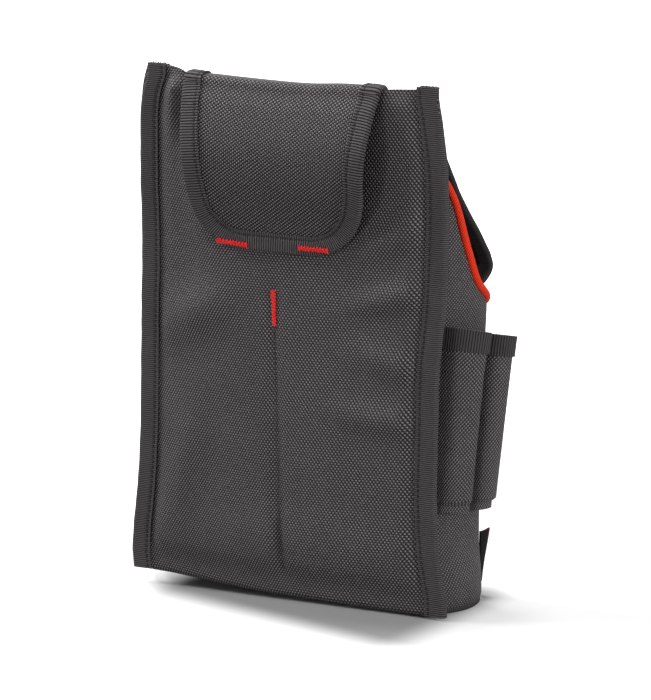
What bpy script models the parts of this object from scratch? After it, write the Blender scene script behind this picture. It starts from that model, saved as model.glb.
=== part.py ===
"""Electrician's belt pouch of heavy woven cloth, in metres, +Z up.

The belt side faces -Y, the front faces +Y, and the pouch stands on its base at Z = 0.
Each cloth piece is drawn on its flat pattern (x across, s along) and carried by a surface
function to its sewn shape. The surface's normal points to the outside of the pouch.
"""
import math

import bmesh
import bpy
from mathutils import Matrix, Vector

# Layers
CLOTH = 0.0012                # heavy outer cloth
LINING = 0.0008               # thin inner cloth
BOARD = 0.0015                # stiffener in the back
TAPE = 0.0008                 # edge binding tape
GAP = 0.0003                  # room between pieces that lie on each other
FACET_ROOM = 0.0003           # extra room where a straight edge follows a bend

# Back panel, with the draw-in of its long edges as (height, draw-in) pairs
PANEL_WIDTH = 0.176
PANEL_HEIGHT = 0.2605
RIGHT_DRAW_IN = ((0.000, 0.0000), (0.012, 0.0006), (0.031, 0.0043), (0.058, 0.0058), (0.100, 0.0052),
                 (0.125, 0.0046), (0.160, 0.0010), (0.200, -0.0002), (0.230, 0.0007), (0.262, 0.0054))
LEFT_DRAW_IN = ((0.000, -0.0016), (0.012, -0.0025), (0.031, -0.0011), (0.052, 0.0008), (0.075, 0.0023),
                (0.100, 0.0029), (0.145, 0.0036), (0.178, 0.0042), (0.207, 0.0036), (0.237, 0.0036),
                (0.262, 0.0074))
BINDING_WIDTH = 0.011
BINDING_RISE = 0.005          # how far the tape ends stand above the panel
BASE_ROUND = 0.0035           # bend where the panel turns under as the base
BOARD_WIDTH = 0.112
BOARD_MARGIN = 0.012          # from the board to the panel's top and base
BOARD_CORNER = 0.010

# Side walls and front, with the draw-in of the front corners as (height, draw-in) pairs, and the
# fall of the rim as (share of the depth, share of the fall) pairs
BODY_DEPTH = 0.048
FRONT_WIDTH = 0.178
FRONT_DRAW_IN = ((0.000, 0.0042), (0.045, 0.0037), (0.100, 0.0018), (0.150, 0.0000))
CORNER_RADIUS = 0.008
WALL_BULGE = 0.006
SEAM_BEND = 0.002
SEAM_INSET = 0.0062           # from the tape's inner end to the wall's fold
TUCK = 0.0015                 # how far the wall's foot draws in to the base
TUCK_HEIGHT = 0.012
RIM_DROP = 0.0285             # from the panel's top down to the rim's back ends
RIM_FRONT = 0.151
RIM_FALL = ((0.00, 0.000), (0.10, 0.075), (0.18, 0.160), (0.28, 0.310), (0.385, 0.540), (0.455, 0.660),
            (0.535, 0.780), (0.62, 0.875), (0.715, 0.935), (0.82, 0.975), (1.00, 1.000))
PIPING_RADIUS = 0.0022
BASE_TAPE_HEIGHT = 0.0065
BASE_TAPE_LIFT = 0.0004       # the tape stays this far above the ground

# Belt loop
BELT_LOOP_TOP_WIDTH = 0.1125
BELT_LOOP_TOP_SHIFT = -0.0012   # the loop is sewn a little askew
BELT_LOOP_FOOT_WIDTH = 0.0875
BELT_LOOP_FOOT_SHIFT = -0.0030
BELT_LOOP_FOOT = 0.178        # height of its lower edge
BELT_LOOP_CORNER = 0.024
BELT_LOOP_CLOTH = 0.0016
BELT_LOOP_BINDING = 0.010
BELT_LOOP_LEG = 0.010         # length sewn down inside the panel
BELT_LOOP_BOW_LEFT = 0.008
BELT_LOOP_BOW_RIGHT = 0.011
BELT_LOOP_BOW_POWER = 1.3     # above 1, the bow starts softly at both ends
BELT_LOOP_SEWN = 0.011        # height of the band held by the tacks

# Bar tacks
TACK_WIDTH = 0.0023
TACK_HEIGHT = 0.0010
TACK_ROUND = 0.0006
TACK_LENGTH = 0.016
TACK_INSET = 0.0026           # from the loop's lower edge
TACK_CENTRES = {"left": -0.029, "right": 0.0165}
POCKET_TACK_LENGTH = 0.018

# Inner pocket
POCKET_WIDTH = 0.114
POCKET_BOTTOM = 0.006
POCKET_TOP = 0.158
POCKET_DIVIDE = -0.008        # place of the middle seam
POCKET_SWELL_TOP = 0.009
POCKET_SWELL_BOTTOM = 0.004
POCKET_BINDING = 0.010

# Tool loops on the right wall
TOOL_LOOP_WIDTH = 0.021       # along the wall, each
TOOL_LOOP_SEWN = 0.0030       # flat band beside each sewn line
TOOL_LOOP_FOOT = 0.0024       # bend where a tube leaves the wall
TOOL_LOOP_FRONT = 0.004       # from the front corner's end to the strip
TOOL_LOOP_BOTTOM = 0.0495     # at the strip's front end
TOOL_LOOP_TOP = 0.136
TOOL_LOOP_RISE_BOTTOM = 0.0025  # how far the edges rise to the strip's back end
TOOL_LOOP_RISE_TOP = 0.011
TOOL_LOOP_SWELL_TOP = 0.016
TOOL_LOOP_SWELL_BOTTOM = 0.008
TOOL_LOOP_BINDING = 0.010

# Front pocket
FRONT_POCKET_WIDTH = 0.140
FRONT_POCKET_BOTTOM = 0.016
FRONT_POCKET_TOP = 0.104
FRONT_POCKET_SWELL = 0.008
FRONT_POCKET_BINDING = 0.010

# Cover flap, with its sag as (share of its reach, stand-off) pairs
FLAP_ROOT_WIDTH = 0.160
FLAP_FRONT_WIDTH = 0.174
FLAP_HINGE_DROP = 0.0087      # from the belt loop's inner end down to the hinge line
FLAP_HINGE_STANDOFF = 0.0017  # from the lining to the hinge line
FLAP_TIP_CLEARANCE = 0.0025   # from the piping to the flap's free edge
FLAP_SAG = ((0.00, 0.0000), (0.32, 0.0024), (0.38, 0.0027), (0.48, 0.0044), (0.585, 0.0065), (0.69, 0.0089),
            (0.79, 0.0105), (0.86, 0.0114), (0.945, 0.0092), (1.00, 0.0000))
FLAP_CORNER = 0.009
FLAP_BINDING = 0.010
FLAP_ROOT_START = 0.0015      # bare run from the hinge line to the cloth
FLAP_BINDING_START = 0.0045   # and to its edge tape
FLAP_TAPE_HEIGHT = 0.010
FLAP_TAPE_WIDTH = 0.128

# Side tab at the right front corner
TAB_BOTTOM = 0.009
TAB_TOP = 0.035
TAB_LENGTH = 0.010
TAB_THICKNESS = 0.0010
TAB_TURN = math.radians(100)  # from +X

# Steps of the curves, and rows and columns of the cloths
ARC_STEPS = 3
CORNER_STEPS = 5
WALL_STEPS = 6
FRONT_STEPS = 2
FOOT_ROWS = 3
LOOP_ROWS = 4
RIM_ROWS = 3
BASE_TAPE_ROWS = 2
BOW_ROWS = 5
POCKET_ROWS = 4
SWELL_STEPS = 7
SWELL_POWER = 0.8             # below 1, a swelling cloth rises steeply from its seams
FLAP_ROWS = 10
PANEL_COLUMNS = 6
LEG_STEPS = 3
MITRE_LIMIT = 0.5
SMOOTH_ANGLE = math.radians(40)

# Planes and levels that the pieces share
BACK_FACE = -BODY_DEPTH / 2
PANEL_Y = BACK_FACE + CLOTH / 2
FLANGE_Y = PANEL_Y + CLOTH + GAP
BOARD_Y = BACK_FACE + CLOTH + GAP + BOARD / 2
LINING_Y = BOARD_Y + BOARD / 2 + GAP + LINING / 2
LINING_FACE = LINING_Y + LINING / 2
FRONT_FACE = BODY_DEPTH / 2
FRONT_Y = FRONT_FACE - CLOTH / 2
SEAM_Y = (PANEL_Y + FLANGE_Y) / 2
BEND_Y = BACK_FACE + BASE_ROUND
RIM_BACK = PANEL_HEIGHT - RIM_DROP
FOLD_ROOM = GAP + FACET_ROOM  # inside a tape's fold, beside the cloth
TAPED = GAP + TAPE + FOLD_ROOM  # from a face to a cloth whose edge tape lies between

# Heights of the rows that the panel, the walls and their tapes share
FOOT_LEVELS = [TUCK_HEIGHT + (TOOL_LOOP_BOTTOM - TUCK_HEIGHT) * i / FOOT_ROWS for i in range(FOOT_ROWS)]
LOOP_LEVELS = [TOOL_LOOP_BOTTOM + (TOOL_LOOP_TOP - TOOL_LOOP_BOTTOM) * i / LOOP_ROWS
               for i in range(LOOP_ROWS + 1)]
RIM_LEVELS = [TOOL_LOOP_TOP + (RIM_BACK - TOOL_LOOP_TOP) * i / RIM_ROWS for i in range(1, RIM_ROWS + 1)]
WALL_LEVELS = FOOT_LEVELS + LOOP_LEVELS
EDGE_LEVELS = [BASE_ROUND] + WALL_LEVELS + RIM_LEVELS + [(RIM_BACK + PANEL_HEIGHT) / 2, PANEL_HEIGHT]

CLOTHS = {
    "woven_cloth": ((0.060, 0.056, 0.058), 0.78),
    "lining_cloth": ((0.040, 0.037, 0.038), 0.55),
    "ribbed_tape": ((0.056, 0.052, 0.054), 0.72),
    "red_piping": ((0.780, 0.045, 0.025), 0.60),
    "red_thread": ((0.640, 0.022, 0.020), 0.50),
    "board": ((0.020, 0.020, 0.022), 0.50),
    "tab_tape": ((0.016, 0.015, 0.016), 0.60),
}


def clear_scene():
    """Removes every object of the open scene."""
    for obj in list(bpy.data.objects):
        bpy.data.objects.remove(obj, do_unlink=True)


def cloth_material(name):
    """Material of one kind of cloth, thread or board."""
    colour, roughness = CLOTHS[name]
    material = bpy.data.materials.new(name)
    material.use_nodes = True
    shader = material.node_tree.nodes["Principled BSDF"]
    shader.inputs["Base Color"].default_value = (*colour, 1.0)
    shader.inputs["Roughness"].default_value = roughness
    shader.inputs["Metallic"].default_value = 0.0
    return material


def mix(start, end, share):
    """Value that lies `share` of the way from start to end."""
    return start + (end - start) * share


def smooth_through(points, place):
    """Height at `place` of a smooth curve through (place, height) points."""
    if place <= points[0][0]:
        return points[0][1]
    if place >= points[-1][0]:
        return points[-1][1]
    last = len(points) - 1
    i = max(k for k in range(last) if points[k][0] <= place)

    def slope(k):
        before, after = points[max(k - 1, 0)], points[min(k + 1, last)]
        return (after[1] - before[1]) / (after[0] - before[0])

    run = points[i + 1][0] - points[i][0]
    t = (place - points[i][0]) / run
    bend_start = (2 * t ** 3 - 3 * t ** 2 + 1) * points[i][1] + (t ** 3 - 2 * t ** 2 + t) * run * slope(i)
    bend_end = (3 * t ** 2 - 2 * t ** 3) * points[i + 1][1] + (t ** 3 - t ** 2) * run * slope(i + 1)
    return bend_start + bend_end


def fillet(before, corner, after, radius, steps):
    """Points of the arc that rounds a corner of a flat line."""
    back = (before - corner).normalized()
    ahead = (after - corner).normalized()
    half = back.angle(ahead) / 2
    centre = corner + (back + ahead).normalized() * radius / math.sin(half)
    start = corner + back * radius / math.tan(half) - centre
    turn = math.pi - 2 * half
    side = -math.copysign(1.0, back.x * ahead.y - back.y * ahead.x)
    return [centre + Matrix.Rotation(side * turn * i / steps, 2) @ start for i in range(steps + 1)]


def swell(share, power=SWELL_POWER):
    """Round stand-off of cloth between two seams, 0 at both and 1 in the middle."""
    return max(0.0, math.sin(math.pi * min(max(share, 0.0), 1.0))) ** power


# Building blocks

def finish(mesh, name, material, pivot):
    """Object of a finished mesh, with its origin at `pivot`."""
    mesh.transform(Matrix.Translation(-pivot))
    obj = bpy.data.objects.new(name, mesh)
    obj.location = pivot
    obj.data.materials.append(MATERIALS[material])
    bpy.context.collection.objects.link(obj)
    mesh.shade_smooth()
    mesh.set_sharp_from_angle(angle=SMOOTH_ANGLE)
    return obj


def sheet(name, rows, thickness, material, pivot=Vector()):
    """Cloth of even thickness through rows of middle points."""
    across = len(rows[0])
    points = [point for row in rows for point in row]
    faces = []
    for i in range(len(rows) - 1):
        for j in range(across - 1):
            corner = i * across + j
            faces.append((corner, corner + 1, corner + across + 1, corner + across))
    mesh = bpy.data.meshes.new(name)
    mesh.from_pydata(points, [], faces)
    obj = finish(mesh, name, material, pivot)
    thick = obj.modifiers.new("thickness", "SOLIDIFY")
    thick.thickness = thickness
    thick.offset = 0.0
    thick.use_even_offset = True
    thick.use_quality_normals = True
    return obj


def loft(name, rings, material, pivot=Vector()):
    """Solid through closed rings of points, with a flat cap at each end."""
    around = len(rings[0])
    mesh = bpy.data.meshes.new(name)
    work = bmesh.new()
    rows = [[work.verts.new(point) for point in ring] for ring in rings]
    for first, second in zip(rows, rows[1:]):
        for j in range(around):
            k = (j + 1) % around
            work.faces.new((first[j], first[k], second[k], second[j]))
    work.faces.new(rows[0])
    work.faces.new(rows[-1])
    bmesh.ops.recalc_face_normals(work, faces=work.faces)
    work.to_mesh(mesh)
    work.free()
    return finish(mesh, name, material, pivot)


def surface_normal(surface, x, s):
    """Outward normal of a pattern surface."""
    step = 0.0002
    across = surface(x + step, s) - surface(x - step, s)
    along = surface(x, s + step) - surface(x, s - step)
    return across.cross(along).normalized()


def edge_tape(name, outline, surface, width, cloth, level=False, pivot=Vector()):
    """Tape folded over a cloth edge: `outline` runs with the cloth on its left.

    A level tape is cut by level planes, and any other squarely across its run.
    """
    inside = cloth / 2 + FOLD_ROOM
    outside = inside + TAPE
    steps = 1 if level else LEG_STEPS
    reaches = [width * i / steps for i in range(1, steps + 1)]
    outer_leg = [(0.0, outside)] + [(reach, outside) for reach in reaches]
    inner_leg = [(reach, inside) for reach in reversed(reaches)] + [(TAPE, inside)]
    half = outer_leg + inner_leg
    profile = half + [(reach, -height) for reach, height in reversed(half)]
    rings = []
    for i, point in enumerate(outline):
        before = outline[max(i - 1, 0)]
        after = outline[min(i + 1, len(outline) - 1)]
        ahead = ((point - before).normalized() + (after - point).normalized()).normalized()
        if level:
            ahead = Vector((0.0, math.copysign(1.0, ahead.y)))
        inward = Vector((-ahead.y, ahead.x))
        ring = []
        for reach, height in profile:
            x, s = point + inward * reach
            ring.append(surface(x, s) + surface_normal(surface, x, s) * height)
        rings.append(ring)
    return loft(name, rings, "ribbed_tape", pivot)


def bar_tack(name, centre, length, turn):
    """Raised bar of close stitches that lies flat on the belt side."""
    mesh = bpy.data.meshes.new(name)
    work = bmesh.new()
    bmesh.ops.create_cube(work, size=1.0)
    bmesh.ops.scale(work, vec=(length, TACK_HEIGHT, TACK_WIDTH), verts=work.verts)
    outer = [edge for edge in work.edges if all(vert.co.y < 0 for vert in edge.verts)]
    bmesh.ops.bevel(work, geom=outer, offset=TACK_ROUND, segments=2, profile=0.5, affect="EDGES")
    work.to_mesh(mesh)
    work.free()
    obj = finish(mesh, name, "red_thread", Vector())
    obj.location = centre
    obj.rotation_euler = (0.0, turn, 0.0)
    return obj


# Outline of the body

def edge_x(z, side):
    """Reach of a long edge's tape from the middle; side is 1 right, -1 left."""
    draw_in = RIGHT_DRAW_IN if side > 0 else LEFT_DRAW_IN
    return PANEL_WIDTH / 2 - smooth_through(draw_in, z)


def seam_x(z, side):
    """Place of the fold where the wall leaves the back seam."""
    return edge_x(z, side) - BINDING_WIDTH - SEAM_INSET


def wall_plan(z, side):
    """Middle line of the wall at a height, from its seam flange to the middle of the front."""
    tuck = TUCK * max(0.0, 1 - z / TUCK_HEIGHT) ** 2
    reach = FRONT_WIDTH / 2 - CLOTH / 2 - smooth_through(FRONT_DRAW_IN, z)
    flange = Vector((edge_x(z, side) - TAPE - GAP, FLANGE_Y))
    seam = Vector((seam_x(z, side), FLANGE_Y))
    corner = Vector((reach - tuck, FRONT_Y - tuck))
    middle = Vector((0.0, corner.y))
    run = corner - seam
    pull = seam.lerp(corner, 0.5) + Vector((run.y, -run.x)).normalized() * 2 * WALL_BULGE
    seam_arc = fillet(flange, seam, pull, SEAM_BEND, ARC_STEPS)
    corner_arc = fillet(pull, corner, middle, CORNER_RADIUS, CORNER_STEPS)
    start, end = seam_arc[-1], corner_arc[0]
    wall = []
    for i in range(1, WALL_STEPS):
        t = i / WALL_STEPS
        wall.append(start.lerp(pull, t).lerp(pull.lerp(end, t), t))
    front = [corner_arc[-1].lerp(middle, i / FRONT_STEPS) for i in range(1, FRONT_STEPS + 1)]
    return [flange] + seam_arc + wall + corner_arc + front


SEAM_END = ARC_STEPS + 1                       # index of the wall's first free point
CORNER_END = SEAM_END + WALL_STEPS + CORNER_STEPS  # and of the corner's last one


def rim_height(y):
    """Height of the wall's upper edge at a depth."""
    share = min(max((y - FLANGE_Y) / (FRONT_Y - FLANGE_Y), 0.0), 1.0)
    return mix(RIM_BACK, RIM_FRONT, smooth_through(RIM_FALL, share))


def wall_foot(y):
    """Height of the wall's lower edge at a depth: on the base, or where the panel starts to bend."""
    return BASE_ROUND if y < BEND_Y else CLOTH + GAP + FACET_ROOM


def wall_back(distance, z):
    """Point and outward direction on the right wall, a distance back from the front corner."""
    line = wall_plan(z, 1)[:CORNER_END + 1]
    line.reverse()
    for first, second in zip(line, line[1:]):
        length = (second - first).length
        if distance <= length or second is line[-1]:
            ahead = (second - first) / length
            return first + ahead * distance, Vector((-ahead.y, ahead.x))
        distance -= length
    return None


def base_x(y, side):
    """Half width of the base at a depth, on the middle line of the wall's foot."""
    line = wall_plan(CLOTH, side)[SEAM_END:CORNER_END + 1]
    for first, second in zip(line, line[1:]):
        if first.y <= y <= second.y:
            return mix(first.x, second.x, (y - first.y) / (second.y - first.y))
    return line[0].x if y < line[0].y else line[-1].x


# Back of the pouch

def span(left, right, y, z):
    """Row of evenly spread points across the pouch."""
    return [Vector((mix(-left, right, i / PANEL_COLUMNS), y, z)) for i in range(PANEL_COLUMNS + 1)]


def make_back_panel():
    """Outer cloth of the belt side, which turns under and makes the base in one piece."""
    inset = TAPE + GAP
    rows = [span(edge_x(z, -1) - inset, edge_x(z, 1) - inset, PANEL_Y, z) for z in reversed(EDGE_LEVELS)]
    radius = BASE_ROUND - CLOTH / 2
    for i in range(1, ARC_STEPS + 1):
        angle = math.pi / 2 * i / ARC_STEPS
        share = math.sin(angle) ** 2
        y, z = BEND_Y - radius * math.cos(angle), BASE_ROUND - radius * math.sin(angle)
        widths = [mix(edge_x(BASE_ROUND, side) - inset, base_x(BEND_Y, side), share) for side in (-1, 1)]
        rows.append(span(*widths, y, z))
    foot = wall_plan(CLOTH, 1)[SEAM_END:CORNER_END + 1]
    depths = [point.y for point in foot if point.y > BEND_Y + GAP]
    rows += [span(base_x(y, -1), base_x(y, 1), y, CLOTH / 2) for y in depths]
    sheet("back_panel", rows, CLOTH, "woven_cloth")


def make_back_board():
    """Flat stiffener with round corners, between the outer cloth and the lining."""
    half = BOARD_WIDTH / 2
    low, high = BASE_ROUND + BOARD_MARGIN, PANEL_HEIGHT - BOARD_MARGIN
    corners = [Vector(place) for place in ((-half, low), (half, low), (half, high), (-half, high))]
    outline = []
    for i, corner in enumerate(corners):
        outline += fillet(corners[i - 1], corner, corners[(i + 1) % 4], BOARD_CORNER, ARC_STEPS)
    rings = [[Vector((p.x, BOARD_Y + offset, p.y)) for p in outline] for offset in (-BOARD / 2, BOARD / 2)]
    loft("back_board", rings, "board")


def make_back_lining():
    """Inner cloth over the board, from seam to seam."""
    inset = CLOTH / 2 + GAP + SEAM_BEND / 2
    rows = [span(seam_x(z, -1) - inset, seam_x(z, 1) - inset, LINING_Y, z) for z in EDGE_LEVELS]
    sheet("back_lining", rows, LINING, "lining_cloth")


def panel_seam(x, s):
    """Flat surface midway between the panel and the wall's flange."""
    return Vector((x, SEAM_Y, s))


def make_edge_bindings():
    """Tapes over the two long seams, holding the panel's and the flange's edges."""
    levels = EDGE_LEVELS[:-1] + [PANEL_HEIGHT + BINDING_RISE]
    held = FLANGE_Y - PANEL_Y + CLOTH
    right = [Vector((edge_x(z, 1), z)) for z in levels]
    left = [Vector((-edge_x(z, -1), z)) for z in reversed(levels)]
    edge_tape("right_edge_binding", right, panel_seam, BINDING_WIDTH, held, level=True)
    edge_tape("left_edge_binding", left, panel_seam, BINDING_WIDTH, held, level=True)


# Walls, rim and base seam

def whole_plan(z):
    """Middle line of the wall round the whole pouch, from the right flange to the left one."""
    left = [Vector((-point.x, point.y)) for point in reversed(wall_plan(z, -1))]
    return wall_plan(z, 1) + left[1:]


def rim_points():
    """Upper edge of the wall, point by point."""
    plan = whole_plan(RIM_FRONT)
    edge = []
    for i, flat in enumerate(plan):
        height = rim_height(flat.y)
        point = whole_plan(height)[i]
        edge.append(Vector((point.x, point.y, height)))
    return edge


def make_body_wall():
    """Side walls and front in one cloth, with a flange along each back seam."""
    rim = rim_points()
    foot = [wall_foot(point.y) for point in whole_plan(RIM_FRONT)]
    rows = [[Vector((*whole_plan(z)[i], z)) for i, z in enumerate(foot)]]
    for z in WALL_LEVELS:
        rows.append([Vector((*flat, z)) for flat in whole_plan(z)])
    for k in range(1, RIM_ROWS + 1):
        heights = [mix(WALL_LEVELS[-1], point.z, k / RIM_ROWS) for point in rim]
        rows.append([Vector((*whole_plan(z)[i], z)) for i, z in enumerate(heights)])
    sheet("body_wall", rows, CLOTH, "woven_cloth")


def make_mouth_piping():
    """Round piping along the rim, from one back seam round the front to the other."""
    rim = rim_points()
    curve = bpy.data.curves.new("mouth_piping", "CURVE")
    curve.dimensions = "3D"
    curve.bevel_depth = PIPING_RADIUS
    curve.bevel_resolution = 2
    curve.use_fill_caps = True
    course = []
    for i in range(SEAM_END, len(rim) - SEAM_END):
        ahead = (rim[i + 1] - rim[i - 1]).normalized()
        up = (Vector((0, 0, 1)) - ahead * ahead.z).normalized()
        course.append(rim[i] + up * (PIPING_RADIUS + GAP))
    clear = LINING_FACE + PIPING_RADIUS + GAP
    course = [point for point in course if point.y > clear]
    spline = curve.splines.new("POLY")
    spline.points.add(len(course) - 1)
    for spot, point in zip(spline.points, course):
        spot.co = (*point, 1.0)
    obj = bpy.data.objects.new("mouth_piping", curve)
    curve.materials.append(MATERIALS["red_piping"])
    bpy.context.collection.objects.link(obj)


def make_base_binding():
    """Tape round the foot of the walls, over the base seam."""
    offset = CLOTH / 2 + GAP + TAPE / 2
    rows = []
    for k in range(BASE_TAPE_ROWS + 1):
        z = mix(BASE_TAPE_LIFT, BASE_TAPE_HEIGHT, k / BASE_TAPE_ROWS)
        plan = whole_plan(max(z, CLOTH))
        row = []
        for i in range(SEAM_END + 1, len(plan) - SEAM_END - 1):
            ahead = (plan[i + 1] - plan[i - 1]).normalized()
            row.append(Vector((plan[i].x + ahead.y * offset, plan[i].y - ahead.x * offset, z)))
        rows.append([point for point in row if point.y > BEND_Y])
    count = min(len(row) for row in rows)
    spare = [(len(row) - count) // 2 for row in rows]
    rows = [row[skip:skip + count] for row, skip in zip(rows, spare)]
    sheet("base_binding", rows, TAPE, "ribbed_tape")


# Belt loop

BELT_LOOP_STANDOFF = TAPED + BELT_LOOP_CLOTH / 2
BELT_LOOP_RUN = PANEL_HEIGHT - BELT_LOOP_FOOT
BELT_LOOP_TURN = BELT_LOOP_STANDOFF * math.pi / 2
BELT_LOOP_CREST = LINING_FACE - BACK_FACE
BELT_LOOP_END = BELT_LOOP_RUN + 2 * BELT_LOOP_TURN + BELT_LOOP_CREST + BELT_LOOP_LEG


def belt_loop_at(x, s):
    """Belt loop's surface: up from its foot, over the panel's top edge and down inside."""
    r = BELT_LOOP_STANDOFF
    turned = s - BELT_LOOP_RUN
    if turned <= 0:
        share = (s - BELT_LOOP_SEWN) / (BELT_LOOP_RUN - BELT_LOOP_SEWN)
        across = 0.5 + x / BELT_LOOP_TOP_WIDTH
        bow = mix(BELT_LOOP_BOW_LEFT, BELT_LOOP_BOW_RIGHT, across) * swell(share, BELT_LOOP_BOW_POWER)
        return Vector((x, BACK_FACE - r - bow, BELT_LOOP_FOOT + s))
    if turned <= BELT_LOOP_TURN:
        angle = turned / r
        return Vector((x, BACK_FACE - r * math.cos(angle), PANEL_HEIGHT + r * math.sin(angle)))
    turned -= BELT_LOOP_TURN
    if turned <= BELT_LOOP_CREST:
        return Vector((x, BACK_FACE + turned, PANEL_HEIGHT + r))
    turned -= BELT_LOOP_CREST
    if turned <= BELT_LOOP_TURN:
        angle = turned / r
        return Vector((x, LINING_FACE + r * math.sin(angle), PANEL_HEIGHT + r * math.cos(angle)))
    return Vector((x, LINING_FACE + r, PANEL_HEIGHT - (turned - BELT_LOOP_TURN)))


def belt_loop_half(s):
    """Half width of the loop's pattern, without its round corners."""
    share = min(s / BELT_LOOP_RUN, 1.0)
    return mix(BELT_LOOP_FOOT_WIDTH, BELT_LOOP_TOP_WIDTH, share) / 2


def belt_loop_middle(s):
    """Place of the loop's middle across the pouch."""
    return mix(BELT_LOOP_FOOT_SHIFT, BELT_LOOP_TOP_SHIFT, min(s / BELT_LOOP_RUN, 1.0))


def belt_loop_levels():
    """Rows of the loop's pattern above its corners."""
    levels = [mix(BELT_LOOP_CORNER, BELT_LOOP_RUN, i / BOW_ROWS) for i in range(1, BOW_ROWS + 1)]
    start = BELT_LOOP_RUN
    levels += [start + BELT_LOOP_TURN * i / ARC_STEPS for i in range(1, ARC_STEPS + 1)]
    start += BELT_LOOP_TURN + BELT_LOOP_CREST
    levels += [start + BELT_LOOP_TURN * i / ARC_STEPS for i in range(ARC_STEPS + 1)]
    return levels + [BELT_LOOP_END]


def corner_rows(half, low, radius):
    """Half widths and rows of a round-cornered end, from its edge to the straight side."""
    rows = []
    for i in range(CORNER_STEPS + 1):
        angle = math.pi / 2 * i / CORNER_STEPS
        s = low + radius * (1 - math.cos(angle))
        rows.append((half(s) - radius * (1 - math.sin(angle)), s))
    return rows


def make_belt_loop():
    """Double cloth of the loop, with its edges inside the tape's fold."""
    inset = TAPE + GAP

    def inner_half(s):
        return belt_loop_half(s) - inset

    pattern = corner_rows(inner_half, inset, BELT_LOOP_CORNER - inset)
    pattern += [(inner_half(s), s) for s in belt_loop_levels()]
    rows = []
    for w, s in pattern:
        places = [belt_loop_middle(s) + mix(-w, w, i / PANEL_COLUMNS) for i in range(PANEL_COLUMNS + 1)]
        rows.append([belt_loop_at(x, s) for x in places])
    sheet("belt_loop", rows, BELT_LOOP_CLOTH, "woven_cloth")


def make_belt_loop_binding():
    """Tape down one side of the loop, round its foot and up the other."""
    side = [(belt_loop_half(s), s) for s in reversed(belt_loop_levels())]
    side += reversed(corner_rows(belt_loop_half, 0.0, BELT_LOOP_CORNER))
    left = [Vector((belt_loop_middle(s) - w, s)) for w, s in side]
    right = [Vector((belt_loop_middle(s) + w, s)) for w, s in reversed(side)]
    foot = [left[-1].lerp(right[0], i / BOW_ROWS) for i in range(1, BOW_ROWS)]
    outline = left + foot + right
    edge_tape("belt_loop_binding", outline, belt_loop_at, BELT_LOOP_BINDING, BELT_LOOP_CLOTH)


def make_tacks():
    """Red bar tacks: two on the loop's lower edge, one upright on the inner pocket's seam."""
    face = BACK_FACE - TAPED - BELT_LOOP_CLOTH - FOLD_ROOM - TAPE
    for side, x in TACK_CENTRES.items():
        centre = Vector((x, face - GAP - TACK_HEIGHT / 2, BELT_LOOP_FOOT + TACK_INSET))
        bar_tack("belt_loop_tack_" + side, centre, TACK_LENGTH, 0.0)
    low = POCKET_TOP - POCKET_TACK_LENGTH / 2
    centre = Vector((POCKET_DIVIDE, BACK_FACE - GAP - TACK_HEIGHT / 2, low))
    bar_tack("pocket_tack", centre, POCKET_TACK_LENGTH, math.pi / 2)


# Pockets and loops

def pocket_at(x, s):
    """Inner pocket's surface: two swelling halves beside the middle seam."""
    side = math.copysign(POCKET_WIDTH / 2, x - POCKET_DIVIDE)
    share = (x - POCKET_DIVIDE) / (side - POCKET_DIVIDE)
    height = (s - POCKET_BOTTOM) / (POCKET_TOP - POCKET_BOTTOM)
    out = mix(POCKET_SWELL_BOTTOM, POCKET_SWELL_TOP, height) * swell(share)
    lift = mix(GAP, TAPED, height) + LINING / 2
    return Vector((x, LINING_FACE + lift + out, s))


def inward(surface):
    """The same surface with its pattern mirrored, so that its normal points the other way."""
    return lambda x, s: surface(-x, s)


def pocket_columns():
    """Places across the inner pocket, close together beside its seams."""
    half = POCKET_WIDTH / 2
    shares = [(1 - math.cos(math.pi * i / SWELL_STEPS)) / 2 for i in range(SWELL_STEPS + 1)]
    left = [mix(-half, POCKET_DIVIDE, share) for share in shares]
    return left + [mix(POCKET_DIVIDE, half, share) for share in shares[1:]]


def make_inner_pocket():
    """Slip pocket on the lining, in two halves, with a tape on its upper edge."""
    columns = pocket_columns()
    top = POCKET_TOP - TAPE - GAP
    rows = [[pocket_at(x, mix(POCKET_BOTTOM, top, i / POCKET_ROWS)) for x in columns]
            for i in range(POCKET_ROWS + 1)]
    sheet("inner_pocket", rows, LINING, "lining_cloth")
    outline = [Vector((-x, POCKET_TOP)) for x in columns]
    edge_tape("inner_pocket_binding", outline, inward(pocket_at), POCKET_BINDING, LINING)


def tube_profile():
    """Cross-section of one tool loop, as (place along the wall, stand-off) points at full swell."""
    crown = TOOL_LOOP_WIDTH / 2 - TOOL_LOOP_SEWN
    low, high = TOOL_LOOP_SEWN, TOOL_LOOP_WIDTH - TOOL_LOOP_SEWN
    course = [Vector(place) for place in (
        (0.0, 0.0), (low, 0.0), (low, TOOL_LOOP_SWELL_TOP), (high, TOOL_LOOP_SWELL_TOP), (high, 0.0),
        (TOOL_LOOP_WIDTH, 0.0))]
    radii = (TOOL_LOOP_FOOT, crown, crown, TOOL_LOOP_FOOT)
    profile = [course[0]]
    for i, radius in enumerate(radii, start=1):
        profile += fillet(course[i - 1], course[i], course[i + 1], radius, ARC_STEPS)
        if i == 2:
            profile.pop()
    return profile


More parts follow.
